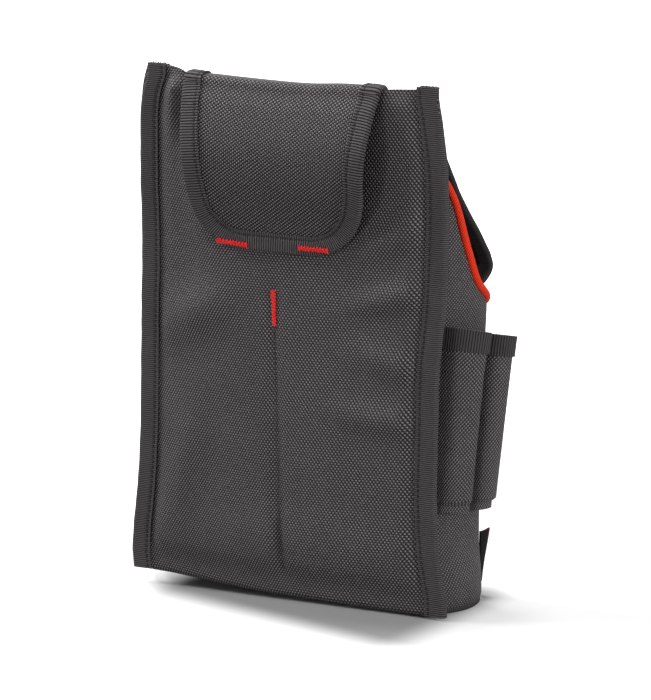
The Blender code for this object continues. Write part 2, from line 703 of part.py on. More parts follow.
def tool_loop_line(z):
    """Middle line of the tool loops' strip from a height at its front end, back and up along the wall."""
    height = (z - TOOL_LOOP_BOTTOM) / (TOOL_LOOP_TOP - TOOL_LOOP_BOTTOM)
    swelling = mix(TOOL_LOOP_SWELL_BOTTOM, TOOL_LOOP_SWELL_TOP, height) / TOOL_LOOP_SWELL_TOP
    slope = mix(TOOL_LOOP_RISE_BOTTOM, TOOL_LOOP_RISE_TOP, height) / (2 * TOOL_LOOP_WIDTH)
    line = []
    for start in (0.0, TOOL_LOOP_WIDTH):
        for along, stand_off in tube_profile()[1 if line else 0:]:
            level = z + slope * (start + along)
            flat, out = wall_back(TOOL_LOOP_FRONT + start + along, level)
            flat += out * (CLOTH + GAP) + Vector((stand_off * swelling, 0.0))
            line.append(Vector((*flat, level)))
    return line


def offset_line(line, distance):
    """Flat line moved sideways, to the right of its run."""
    moved = []
    for i, point in enumerate(line):
        before = line[max(i - 1, 0)]
        after = line[min(i + 1, len(line) - 1)]
        back = (point - before).normalized() if i else (after - point).normalized()
        ahead = (after - point).normalized() if after is not point else back
        right = Vector((back.y + ahead.y, -back.x - ahead.x)).normalized()
        moved.append(point + right * distance / max(right.dot(Vector((ahead.y, -ahead.x))), MITRE_LIMIT))
    return moved


def make_tool_loops():
    """One strip sewn down at three lines, so that it stands off in two tubes, with a tape on top."""
    rows = [tool_loop_line(z) for z in LOOP_LEVELS]
    sheet("tool_loops", rows, CLOTH, "woven_cloth")
    rows = []
    for z in (TOOL_LOOP_TOP - TOOL_LOOP_BINDING, TOOL_LOOP_TOP):
        line = tool_loop_line(z)
        outside = offset_line([point.xy for point in line], -(CLOTH / 2 + GAP + TAPE / 2))
        rows.append([Vector((*flat, point.z)) for flat, point in zip(outside, line)])
    sheet("tool_loops_binding", rows, TAPE, "ribbed_tape")


def front_pocket_at(x, s):
    """Front pocket's surface, swelling towards its open top."""
    share = 0.5 + x / FRONT_POCKET_WIDTH
    height = (s - FRONT_POCKET_BOTTOM) / (FRONT_POCKET_TOP - FRONT_POCKET_BOTTOM)
    lift = CLOTH / 2 + mix(GAP, TAPED, height)
    return Vector((x, FRONT_FACE + lift + FRONT_POCKET_SWELL * height * swell(share), s))


def make_front_pocket():
    """Slip pocket on the front, with a tape on its upper edge."""
    half = FRONT_POCKET_WIDTH / 2
    columns = [-half * math.cos(math.pi * i / (2 * SWELL_STEPS)) for i in range(2 * SWELL_STEPS + 1)]
    top = FRONT_POCKET_TOP - TAPE - GAP
    rows = [[front_pocket_at(x, mix(FRONT_POCKET_BOTTOM, top, i / POCKET_ROWS)) for x in columns]
            for i in range(POCKET_ROWS + 1)]
    sheet("front_pocket", rows, CLOTH, "woven_cloth")
    outline = [Vector((-x, FRONT_POCKET_TOP)) for x in columns]
    edge_tape("front_pocket_binding", outline, inward(front_pocket_at), FRONT_POCKET_BINDING, CLOTH)


# Cover flap

FLAP_HINGE_HEIGHT = PANEL_HEIGHT - BELT_LOOP_LEG - FLAP_HINGE_DROP
FLAP_HINGE = Vector((0.0, LINING_FACE + FLAP_HINGE_STANDOFF, FLAP_HINGE_HEIGHT))
FLAP_TIP = Vector((0.0, FRONT_FACE, RIM_FRONT + GAP + 2 * PIPING_RADIUS + FLAP_TIP_CLEARANCE))
FLAP_REACH = (FLAP_TIP - FLAP_HINGE).length


def flap_at(x, s):
    """Cover flap's surface: s runs from the hinge line down to the free edge."""
    along = (FLAP_TIP - FLAP_HINGE).normalized()
    out = Vector((0.0, -along.z, along.y))
    place = FLAP_HINGE + along * s + out * smooth_through(FLAP_SAG, s / FLAP_REACH)
    return Vector((x, place.y, place.z))


def flap_half(s):
    """Half width of the flap's pattern, without its round corners."""
    return mix(FLAP_ROOT_WIDTH, FLAP_FRONT_WIDTH, s / FLAP_REACH) / 2


def flap_levels():
    """Rows of the flap above its round corners."""
    end = FLAP_REACH - FLAP_CORNER
    return [mix(FLAP_BINDING_START, end, i / FLAP_ROWS) for i in range(FLAP_ROWS)]


def make_cover_flap():
    """Cloth that lies over the mouth, hinged along its sewn root, with a tape round its free edges."""
    inset = TAPE + GAP
    tip = [(w, FLAP_REACH - s) for w, s in corner_rows(
        lambda s: flap_half(FLAP_REACH - s), 0.0, FLAP_CORNER)]
    inner = [(w, FLAP_REACH - s) for w, s in corner_rows(
        lambda s: flap_half(FLAP_REACH - s) - inset, inset, FLAP_CORNER - inset)]
    pattern = [(flap_half(s) - inset, s) for s in [FLAP_ROOT_START] + flap_levels()]
    pattern += reversed(inner)
    rows = [[flap_at(mix(-w, w, i / PANEL_COLUMNS), s) for i in range(PANEL_COLUMNS + 1)]
            for w, s in pattern]
    sheet("cover_flap", rows, CLOTH, "lining_cloth", FLAP_HINGE)
    side = [Vector((flap_half(s), s)) for s in flap_levels()]
    side += [Vector(place) for place in reversed(tip)]
    outline = side + [Vector((0.0, FLAP_REACH))]
    outline += [Vector((-place.x, place.y)) for place in reversed(side)]
    edge_tape("cover_flap_binding", outline, flap_at, FLAP_BINDING, CLOTH, pivot=FLAP_HINGE)


def make_flap_root_tape():
    """Tape that holds the flap's root on the lining, just under the hinge line."""
    y = LINING_FACE + GAP + TAPE / 2
    top = FLAP_HINGE_HEIGHT - FLAP_HINGE_STANDOFF
    half = FLAP_TAPE_WIDTH / 2
    rows = [span(half, half, y, z) for z in (top - FLAP_TAPE_HEIGHT, top)]
    sheet("flap_root_tape", rows, TAPE, "ribbed_tape")


def make_side_tab():
    """Folded tape tab that stands out from the right front corner, hinged on its sewn edge."""
    away = Vector((1.0, 1.0)).normalized()
    levels = [TAB_BOTTOM, TAB_TOP] + [z for z in WALL_LEVELS if TAB_BOTTOM < z < TAB_TOP]
    arcs = [wall_plan(z, 1)[CORNER_END - CORNER_STEPS:CORNER_END + 1] for z in levels]
    reach = max(point.dot(away) for arc in arcs for point in arc)
    place = arcs[0][(CORNER_STEPS + 1) // 2]
    root = place + away * (reach - place.dot(away) + CLOTH / 2 + GAP + TAB_THICKNESS / 2)
    pivot = Vector((*root, (TAB_BOTTOM + TAB_TOP) / 2))
    ahead = Vector((math.cos(TAB_TURN), math.sin(TAB_TURN), 0.0))
    rows = []
    for z in (TAB_BOTTOM, TAB_TOP):
        start = Vector((*root, z))
        rows.append([start, start + ahead * TAB_LENGTH])
    sheet("side_tab", rows, TAB_THICKNESS, "tab_tape", pivot)


clear_scene()
MATERIALS = {name: cloth_material(name) for name in CLOTHS}
make_back_panel()
make_back_board()
make_back_lining()
make_edge_bindings()
make_body_wall()
make_mouth_piping()
make_base_binding()
make_belt_loop()
make_belt_loop_binding()
make_tacks()
make_inner_pocket()
make_tool_loops()
make_front_pocket()
make_cover_flap()
make_flap_root_tape()
make_side_tab()
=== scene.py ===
"""Looks of the electrician's belt pouch: cloths, tapes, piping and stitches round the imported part.

Lengths are in metres. The flat pattern of each cloth, which its finish follows, is in millimetres.
The belt side faces -Y, the front faces +Y, and the pouch stands on its base at Z = 0.
"""
from __future__ import annotations

import logging
import math
from dataclasses import dataclass, field
from enum import Enum
from typing import Any, Callable, Optional, Sequence, Union

import bmesh
import bpy
import numpy as np
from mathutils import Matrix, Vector, noise


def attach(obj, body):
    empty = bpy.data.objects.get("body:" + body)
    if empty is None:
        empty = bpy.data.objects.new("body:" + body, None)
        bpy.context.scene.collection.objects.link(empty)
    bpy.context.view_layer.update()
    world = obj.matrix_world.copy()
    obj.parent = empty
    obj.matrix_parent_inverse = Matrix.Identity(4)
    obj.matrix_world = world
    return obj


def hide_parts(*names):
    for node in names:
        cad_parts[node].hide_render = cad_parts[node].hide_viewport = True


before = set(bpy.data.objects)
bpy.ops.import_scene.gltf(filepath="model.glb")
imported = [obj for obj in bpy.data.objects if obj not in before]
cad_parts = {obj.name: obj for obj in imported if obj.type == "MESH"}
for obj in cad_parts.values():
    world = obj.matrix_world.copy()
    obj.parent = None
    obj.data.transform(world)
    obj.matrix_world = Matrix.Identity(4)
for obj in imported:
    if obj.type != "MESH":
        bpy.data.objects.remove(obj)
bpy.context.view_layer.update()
LOG = logging.getLogger("pouch")

Array = np.ndarray
Surface = Callable[[Array, Array], Array]
Object = bpy.types.Object
Material = bpy.types.Material
Output = bpy.types.NodeSocket
Socket = Union[float, Output]
Knots = tuple[tuple[float, float], ...]
Colour = tuple[float, float, float]
Point = tuple[float, float, float]

MM = 0.001
PATTERN = "pattern"
IMAGE_SIZE = (651, 700)
SHARP_ANGLE = 50.0
WHITE = (1.0, 1.0, 1.0, 1.0)


class Body(Enum):
    """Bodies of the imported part."""

    POUCH = "pouch"
    FLAP = "flap"
    TAB = "tab"


class Slot(Enum):
    """Material slots of the record. The calls that place the pieces name one each, but nothing assigns it.
    """

    CLOTH = "outer_cloth"
    LINING = "lining_cloth"
    TAPE = "edge_tape"
    PIPING = "red_piping"
    THREAD = "red_thread"
    TAB = "tab_tape"


class Side(Enum):
    """Sides of the pouch as the belt side is seen."""

    LEFT = -1
    RIGHT = 1


class Leg(Enum):
    """Stretches of the wall's plan, from its back seam to the middle of the front."""

    FLANGE = 0
    SEAM = 1
    WALL = 2
    CORNER = 3
    FRONT = 4


# Curves and surfaces


class SmoothLine:
    """Smooth curve through (place, value) knots."""

    def __init__(self, knots: Knots) -> None:
        """Keeps the knots and the slope at each of them.

        Args:
            knots: Places in rising order, each with its value.
        """
        self.places, self.values = np.array(knots, float).T
        before = np.maximum(np.arange(len(knots)) - 1, 0)
        after = np.minimum(np.arange(len(knots)) + 1, len(knots) - 1)
        rises = self.values[after] - self.values[before]
        self.slopes = rises / (self.places[after] - self.places[before])

    def __call__(self, place: Array) -> Array:
        """Value of the curve.

        Args:
            place: Places along the curve, held to its ends.

        Returns:
            The values at those places.
        """
        place = np.clip(np.asarray(place, float), self.places[0], self.places[-1])
        i = np.clip(np.searchsorted(self.places, place, side="right") - 1, 0, len(self.places) - 2)
        run = self.places[i + 1] - self.places[i]
        t = (place - self.places[i]) / run
        start = (2 * t**3 - 3 * t**2 + 1) * self.values[i] + (t**3 - 2 * t**2 + t) * run * self.slopes[i]
        end = (3 * t**2 - 2 * t**3) * self.values[i + 1] + (t**3 - t**2) * run * self.slopes[i + 1]
        return start + end


def unit(vectors: Array) -> Array:
    """Vectors at length one."""
    return vectors / np.maximum(np.linalg.norm(vectors, axis=-1, keepdims=True), 1e-12)


def pair(x: Array, y: Array) -> Array:
    """Flat points from two coordinates."""
    return np.stack(np.broadcast_arrays(np.asarray(x, float), np.asarray(y, float)), axis=-1)


def triple(x: Array, y: Array, z: Array) -> Array:
    """Points from three coordinates."""
    return np.stack(np.broadcast_arrays(*(np.asarray(c, float) for c in (x, y, z))), axis=-1)


def blend(start: Array, end: Array, share: Array) -> Array:
    """Values that lie `share` of the way from start to end."""
    return start + (end - start) * share


def ease(share: Array) -> Array:
    """Smooth step from 0 to 1."""
    t = np.clip(share, 0.0, 1.0)
    return t * t * (3 - 2 * t)


def swell(share: Array, power: float) -> Array:
    """Round stand-off of cloth between two seams, 0 at both and 1 in the middle."""
    return np.maximum(np.sin(np.pi * np.clip(share, 0.0, 1.0)), 0.0) ** power


def chance(a: float, b: float, c: float) -> float:
    """Repeatable random value, from about -1 to 1, of three numbers."""
    return noise.noise(Vector((a, b, c)))


def rounded(before: Array, corner: Array, after: Array, radius: float, share: float) -> Array:
    """Point of the arc that rounds a corner.

    Args:
        before: A point on the run into the corner.
        corner: The sharp corner.
        after: A point on the run out of it.
        radius: Radius of the arc.
        share: How far along the arc, from 0 to 1.

    Returns:
        The points on the arc.
    """
    back, ahead = unit(before - corner), unit(after - corner)
    half = np.arccos(np.clip((back * ahead).sum(-1), -1.0, 1.0)) / 2
    centre = corner + unit(back + ahead) * (radius / np.sin(half))[..., None]
    start = corner + back * (radius / np.tan(half))[..., None] - centre
    side = -np.sign(back[..., 0] * ahead[..., 1] - back[..., 1] * ahead[..., 0])
    turn = side * (np.pi - 2 * half) * share
    c, s = np.cos(turn), np.sin(turn)
    return centre + pair(start[..., 0] * c - start[..., 1] * s, start[..., 0] * s + start[..., 1] * c)


def normals_of(surface: Surface, x: Array, s: Array) -> Array:
    """Outward normals of a pattern surface.

    Args:
        surface: The surface, as a function of its flat pattern.
        x: Places across the pattern.
        s: Places along it.

    Returns:
        The normals at those places.
    """
    step = 0.0002
    across = surface(x + step, s) - surface(x - step, s)
    along = surface(x, s + step) - surface(x, s - step)
    return unit(np.cross(across, along))


def run_length(points: Array) -> Array:
    """Distance along a line of points, from its first one."""
    return np.concatenate([[0.0], np.cumsum(np.linalg.norm(np.diff(points, axis=0), axis=1))])


def spots_along(where: Array, run: Array, points: Array) -> Array:
    """Points at distances along a line, of whose own points `run` gives the distances."""
    return np.stack([np.interp(where, run, points[:, k]) for k in range(points.shape[1])], axis=-1)


def resampled(points: Array, step: float) -> Array:
    """The same line with even steps.

    Args:
        points: Points of the line.
        step: About how long a step is.

    Returns:
        The new points.
    """
    run = run_length(points)
    places = np.linspace(0.0, run[-1], max(int(round(run[-1] / step)), 1) + 1)
    return spots_along(places, run, points)


@dataclass(frozen=True)
class Fold:
    """One soft swelling of the back panel: its place, half lengths, turn in degrees and height."""

    x: float
    z: float
    along: float
    across: float
    turn: float
    height: float

    def at(self, x: Array, z: Array) -> Array:
        """Stand-off that this swelling adds.

        Args:
            x: Places across the panel.
            z: Heights on it.

        Returns:
            The stand-off at those places.
        """
        turn = math.radians(self.turn)
        dx, dz = x - self.x, z - self.z
        u = (dx * math.cos(turn) + dz * math.sin(turn)) / self.along
        v = (dz * math.cos(turn) - dx * math.sin(turn)) / self.across
        return self.height * np.exp(-(u * u + v * v))


PANEL_FOLDS = (
    Fold(-0.047, 0.196, 0.040, 0.0100, -77, 0.0030),
    Fold(-0.051, 0.144, 0.018, 0.0120, 30, 0.0048),
    Fold(-0.060, 0.060, 0.030, 0.0090, 80, 0.0030),
    Fold(0.059, 0.191, 0.022, 0.0080, 28, 0.0036),
    Fold(0.058, 0.160, 0.024, 0.0065, 15, 0.0036),
    Fold(0.062, 0.127, 0.022, 0.0075, -10, 0.0030),
    Fold(0.055, 0.098, 0.026, 0.0068, -4, 0.0028),
    Fold(0.000, 0.030, 0.090, 0.0150, 0, 0.0020),
    Fold(-0.0645, 0.250, 0.0045, 0.020, 0, 0.0032),
)


@dataclass(frozen=True)
class PouchShape:
    """Sizes and surfaces of the sewn pouch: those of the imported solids, and soft forms added to them."""

    cloth: float = 0.0012
    lining: float = 0.0008
    board: float = 0.0015
    tape: float = 0.0008
    gap: float = 0.0003
    facet_room: float = 0.0003
    panel_width: float = 0.176
    panel_height: float = 0.2605
    right_draw_in: Knots = (
        (0.000, 0.0000), (0.012, 0.0006), (0.031, 0.0043), (0.058, 0.0058), (0.100, 0.0052),
        (0.125, 0.0046), (0.160, 0.0010), (0.200, -0.0002), (0.230, 0.0007), (0.262, 0.0054))
    left_draw_in: Knots = (
        (0.000, -0.0016), (0.012, -0.0025), (0.031, -0.0011), (0.052, 0.0008), (0.075, 0.0023),
        (0.100, 0.0029), (0.145, 0.0036), (0.178, 0.0042), (0.207, 0.0036), (0.237, 0.0036),
        (0.250, 0.0046), (0.262, 0.0080))
    binding_width: float = 0.011
    base_round: float = 0.0035
    body_depth: float = 0.048
    front_width: float = 0.178
    front_draw_in: Knots = ((0.000, 0.0042), (0.045, 0.0037), (0.100, 0.0018), (0.150, 0.0000))
    corner_radius: float = 0.008
    wall_bulge: float = 0.006
    seam_bend: float = 0.002
    seam_inset: float = 0.0062
    belly: float = 0.0026
    belly_height: float = 0.034
    belly_run: float = 0.026
    tuck: float = 0.0016
    tuck_height: float = 0.006
    rim_back: float = 0.232
    rim_front: float = 0.151
    rim_fall: Knots = (
        (0.00, 0.000), (0.10, 0.075), (0.18, 0.160), (0.28, 0.310), (0.385, 0.535), (0.455, 0.650),
        (0.535, 0.762), (0.62, 0.842), (0.715, 0.890), (0.82, 0.935), (0.906, 0.978), (1.00, 1.010))
    swell_power: float = 0.8
    divide: Knots = (
        (0.004, 0.0000), (0.021, -0.0036), (0.052, -0.0054), (0.092, -0.0065), (0.133, -0.0076),
        (0.158, -0.0080))
    top_line: Knots = (
        (-0.088, 0.2672), (-0.0696, 0.2668), (-0.0615, 0.2655), (-0.0575, 0.2636), (-0.053, 0.2608),
        (-0.030, 0.2602), (-0.011, 0.2597), (0.010, 0.2598), (0.039, 0.2610), (0.0490, 0.2616),
        (0.0525, 0.2636), (0.0747, 0.2656), (0.081, 0.2670), (0.088, 0.2672))
    crest_line: Knots = (
        (-0.058, 0.2608), (-0.045, 0.2604), (-0.011, 0.2597), (0.010, 0.2598), (0.030, 0.2612),
        (0.0475, 0.2613), (0.056, 0.2602))
    lift_line: Knots = (
        (-0.092, 0.0065), (-0.072, 0.0063), (-0.057, 0.0052), (-0.034, 0.0032), (-0.016, 0.0021),
        (0.006, 0.0016), (0.035, 0.0009), (0.063, 0.0005), (0.089, 0.0000))
    lift_height: float = 0.070
    lift_depth: float = 0.018
    slack: float = 0.0019
    crease: float = 0.0036
    crease_pull: float = 0.95
    crease_top: float = 0.172
    crease_fade: float = 0.03
    edge_fade: float = 0.008
    top_fade: float = 0.010
    foot_start: float = 0.006
    foot_fade: float = 0.014
    base_steps: int = 30
    wall_steps: int = 60
    corner_steps: int = 20

    @property
    def back_face(self) -> float:
        """Plane of the belt side."""
        return -self.body_depth / 2

    @property
    def front_face(self) -> float:
        """Plane of the front."""
        return self.body_depth / 2

    @property
    def panel_y(self) -> float:
        """Middle of the back panel's cloth."""
        return self.back_face + self.cloth / 2

    @property
    def flange_y(self) -> float:
        """Middle of the wall's seam flange."""
        return self.panel_y + self.cloth + self.gap

    @property
    def seam_y(self) -> float:
        """Plane midway between the panel and the flange."""
        return (self.panel_y + self.flange_y) / 2

    @property
    def lining_y(self) -> float:
        """Middle of the lining."""
        return self.back_face + self.cloth + self.gap + self.board + self.gap + self.lining / 2

    @property
    def lining_face(self) -> float:
        """Inner face of the lining."""
        return self.lining_y + self.lining / 2

    @property
    def front_y(self) -> float:
        """Middle of the front's cloth."""
        return self.front_face - self.cloth / 2

    @property
    def bend_y(self) -> float:
        """Depth at which the panel has turned under as the base."""
        return self.back_face + self.base_round

    @property
    def taped(self) -> float:
        """Stand-off of a cloth whose edge tape lies beneath it."""
        return 2 * self.gap + self.tape + self.facet_room

    @property
    def tape_inset(self) -> float:
        """From the outer edge of a tape to the edge of the cloth that it holds."""
        return self.tape + self.gap

    def edge(self, z: Array, side: Side) -> Array:
        """Reach of a long edge's tape from the middle."""
        draw_in = self.right_draw_in if side is Side.RIGHT else self.left_draw_in
        return self.panel_width / 2 - SmoothLine(draw_in)(z)

    def top(self, x: Array) -> Array:
        """Height of the panel's soft top edge, which steps down under the belt loop."""
        return SmoothLine(self.top_line)(x)

    def crest(self, x: Array) -> Array:
        """Height of the line that the belt loop folds over."""
        return SmoothLine(self.crest_line)(x)

    def drawn_in(self, z: Array) -> Array:
        """How far the wall's foot draws in to the base."""
        return self.tuck * np.maximum(0.0, 1 - np.asarray(z, float) / self.tuck_height) ** 2

    def settle(self, points: Array) -> Array:
        """Lets the belt side's lower edge rise from the ground towards its left corner.

        Args:
            points: Points of a piece near the base.

        Returns:
            The points in their settled places.
        """
        x, y, z = points[..., 0], points[..., 1], points[..., 2]
        low = ease((self.lift_height - z) / self.lift_height)
        held = low * ease((self.lift_depth - y) / (self.lift_depth - self.back_face))
        return triple(x, y, z + SmoothLine(self.lift_line)(x) * held)

    def relief(self, x: Array, z: Array) -> Array:
        """Outward stand-off of the soft back panel from its plane.

        Args:
            x: Places across the panel.
            z: Heights on it.

        Returns:
            The stand-off, 0 along the tapes, the top and the base.
        """
        x, z = np.broadcast_arrays(np.asarray(x, float), np.asarray(z, float))
        off = (x - SmoothLine(self.divide)(z)) / self.crease
        pulled = np.exp(-(off**2)) * ease((self.crease_top - z) / self.crease_fade)
        rise = sum(fold.at(x, z) for fold in PANEL_FOLDS)
        rise = (rise + self.slack) * (1 - self.crease_pull * pulled)
        for side in (Side.RIGHT, Side.LEFT):
            rise = rise * ease((self.edge(z, side) - self.binding_width - side.value * x) / self.edge_fade)
        return rise * ease((self.top(x) - z) / self.top_fade) * ease((z - self.foot_start) / self.foot_fade)

    def wall(self, z: Array, side: Side, leg: Leg, share: float) -> Array:
        """Middle line of the wall.

        Args:
            z: Heights.
            side: Which half of the pouch.
            leg: Which stretch of the plan.
            share: How far along that stretch, from 0 to 1.

        Returns:
            Flat points of the plan, for the right half also where side is left.
        """
        z = np.asarray(z, float)
        edge = self.edge(z, side)
        tuck = self.drawn_in(z)
        bulge = self.wall_bulge + self.belly * ease((self.belly_height - z) / self.belly_run) - tuck
        reach = self.front_width / 2 - self.cloth / 2 - SmoothLine(self.front_draw_in)(z) - tuck
        flange = pair(edge - self.tape - self.gap, self.flange_y)
        seam = pair(edge - self.binding_width - self.seam_inset, self.flange_y)
        corner = pair(reach, self.front_y - tuck)
        middle = pair(0.0, self.front_y - tuck)
        run = unit(corner - seam)
        pull = (seam + corner) / 2 + pair(run[..., 1], -run[..., 0]) * 2 * bulge[..., None]
        if leg is Leg.FLANGE:
            return blend(flange, rounded(flange, seam, pull, self.seam_bend, 0.0), share)
        if leg is Leg.SEAM:
            return rounded(flange, seam, pull, self.seam_bend, share)
        if leg is Leg.CORNER:
            return rounded(pull, corner, middle, self.corner_radius, share)
        end = rounded(pull, corner, middle, self.corner_radius, 0.0 if leg is Leg.WALL else 1.0)
        if leg is Leg.FRONT:
            return blend(end, middle, share)
        start = rounded(flange, seam, pull, self.seam_bend, 1.0)
        return blend(blend(start, pull, share), blend(pull, end, share), share)

    def rim(self, y: Array) -> Array:
        """Height of the wall's upper edge at a depth."""
        share = np.clip((y - self.flange_y) / (self.front_y - self.flange_y), 0.0, 1.0)
        return blend(self.rim_back, self.rim_front, SmoothLine(self.rim_fall)(share))

    def base_half(self, y: Array, side: Side) -> Array:
        """Half width of the base.

        Args:
            y: Depths.
            side: Which half of the pouch.

        Returns:
            The half widths at those depths.
        """
        legs = ((Leg.WALL, self.base_steps), (Leg.CORNER, self.corner_steps))
        line = np.array([self.wall(self.cloth, side, leg, t)
                         for leg, steps in legs for t in np.linspace(0, 1, steps)])
        return np.interp(y, line[:, 1], line[:, 0])

    def wall_back(self, distance: Array, z: Array) -> tuple[Array, Array]:
        """Points on the right wall behind the front corner.

        Args:
            distance: Distances back along the wall from the corner's end.
            z: Height of each point.

        Returns:
            The flat points and the outward directions there.
        """
        step = 0.0004
        corner, wall = (np.linspace(1, 0, steps) for steps in (self.corner_steps, self.wall_steps))
        legs = ((Leg.CORNER, corner), (Leg.WALL, wall[1:]))
        lines = np.array([self.wall(z, Side.RIGHT, leg, t) for leg, shares in legs for t in shares])
        near = np.array([spots_along((place, place + step), run_length(line), line)
                         for place, line in zip(distance, lines.transpose(1, 0, 2))])
        ahead = unit(near[:, 1] - near[:, 0])
        return near[:, 0], pair(-ahead[..., 1], ahead[..., 0])


# Meshes


def new_object(name: str, mesh: bpy.types.Mesh) -> Object:
    """Object of a mesh, in the scene, at the origin.

    Args:
        name: Name of the piece.
        mesh: Its mesh.

    Returns:
        The object.
    """
    obj = bpy.data.objects.new(name, mesh)
    bpy.context.scene.collection.objects.link(obj)
    return obj


def set_pattern(mesh: bpy.types.Mesh, corners: Array) -> None:
    """Writes the flat pattern, in millimetres, to a mesh's own UV map, corner by corner."""
    layer = mesh.uv_layers.new(name=PATTERN)
    layer.data.foreach_set("uv", np.ascontiguousarray(corners, np.float32).ravel())


def grid_sheet(name: str, points: Array, pattern: Array, thickness: float) -> Object:
    """Cloth of even thickness through a grid of middle points.

    Args:
        name: Name of the piece.
        points: Rows and columns of points, with the normal of rising columns and rows outside.
        pattern: Flat place of each point, in metres.
        thickness: Thickness of the cloth.

    Returns:
        The closed sheet.
    """
    rows, columns = points.shape[:2]
    index = np.arange(rows * columns).reshape(rows, columns)
    corners = (index[:-1, :-1], index[:-1, 1:], index[1:, 1:], index[1:, :-1])
    faces = np.stack(corners, axis=-1).reshape(-1, 4)
    mesh = bpy.data.meshes.new(name)
    mesh.from_pydata(points.reshape(-1, 3).tolist(), [], faces.tolist())
    set_pattern(mesh, pattern.reshape(-1, 2)[faces.ravel()] / MM)
    obj = new_object(name, mesh)
    solid = obj.modifiers.new("thickness", "SOLIDIFY")
    solid.thickness = thickness
    solid.offset = 0.0
    solid.use_even_offset = True
    solid.use_quality_normals = True
    bpy.ops.object.select_all(action="DESELECT")
    obj.select_set(True)
    bpy.context.view_layer.objects.active = obj
    bpy.ops.object.modifier_apply(modifier=solid.name)
    return obj


def closed_solid(name: str, points: Sequence[Sequence[float]], faces: Sequence[Sequence[int]],
                 pattern: Optional[Array] = None) -> Object:
    """Object whose faces all point outwards.

    Args:
        name: Name of the piece.
        points: Its points.
        faces: Its faces, as numbers of points.
        pattern: Flat place of each corner of each face, in millimetres, where the finish follows one.

    Returns:
        The solid.
    """
    mesh = bpy.data.meshes.new(name)
    mesh.from_pydata(points, [], faces)
    if pattern is not None:
        set_pattern(mesh, pattern)
    work = bmesh.new()
    work.from_mesh(mesh)
    bmesh.ops.recalc_face_normals(work, faces=work.faces)
    work.to_mesh(mesh)
    work.free()
    return new_object(name, mesh)


def tube_faces(first: int, count: int, sides: int) -> list[tuple[int, ...]]:
    """Faces of a closed tube through rings of points.

    Args:
        first: Number of the first ring's first point.
        count: Number of rings.
        sides: Points in each ring.

    Returns:
        The faces between the rings, and then one at each end.
    """
    faces = []
    last = first + (count - 1) * sides
    for low in range(first, last, sides):
        for j in range(sides):
            k = (j + 1) % sides
            faces.append((low + j, low + k, low + sides + k, low + sides + j))
    return faces + [tuple(range(first + sides - 1, first - 1, -1)), tuple(range(last, last + sides))]


def rings_round(course: Array, radius: Array, aside: Array, up: Array, angles: Array) -> Array:
    """Rings of points round a course, in the plane of two directions at each of its points."""
    turned = aside[:, None] * np.cos(angles)[None, :, None] + up[:, None] * np.sin(angles)[None, :, None]
    return course[:, None] + radius[:, None, None] * turned


def ring_solid(name: str, rings: Array, along: Array, across: Array) -> Object:
    """Closed solid through rings of points.

    Args:
        name: Name of the piece.
        rings: Rings, one after the other, each with the same number of points.
        along: Flat place of each ring along the piece, in metres.
        across: Flat place of each point round a ring, with the first one again at the end.

    Returns:
        The solid, closed at both ends.
    """
    count, around = rings.shape[:2]
    faces = tube_faces(0, count, around)
    i, j = np.meshgrid(np.arange(count - 1), np.arange(around), indexing="ij")
    flat = np.stack([
        pair(across[j], along[i]), pair(across[j + 1], along[i]),
        pair(across[j + 1], along[i + 1]), pair(across[j], along[i + 1])], axis=2).reshape(-1, 2)
    caps = [pair(across[np.array(face) % around], along[end]) for face, end in zip(faces[-2:], (0, -1))]
    return closed_solid(name, rings.reshape(-1, 3).tolist(), faces, np.concatenate([flat, *caps]) / MM)


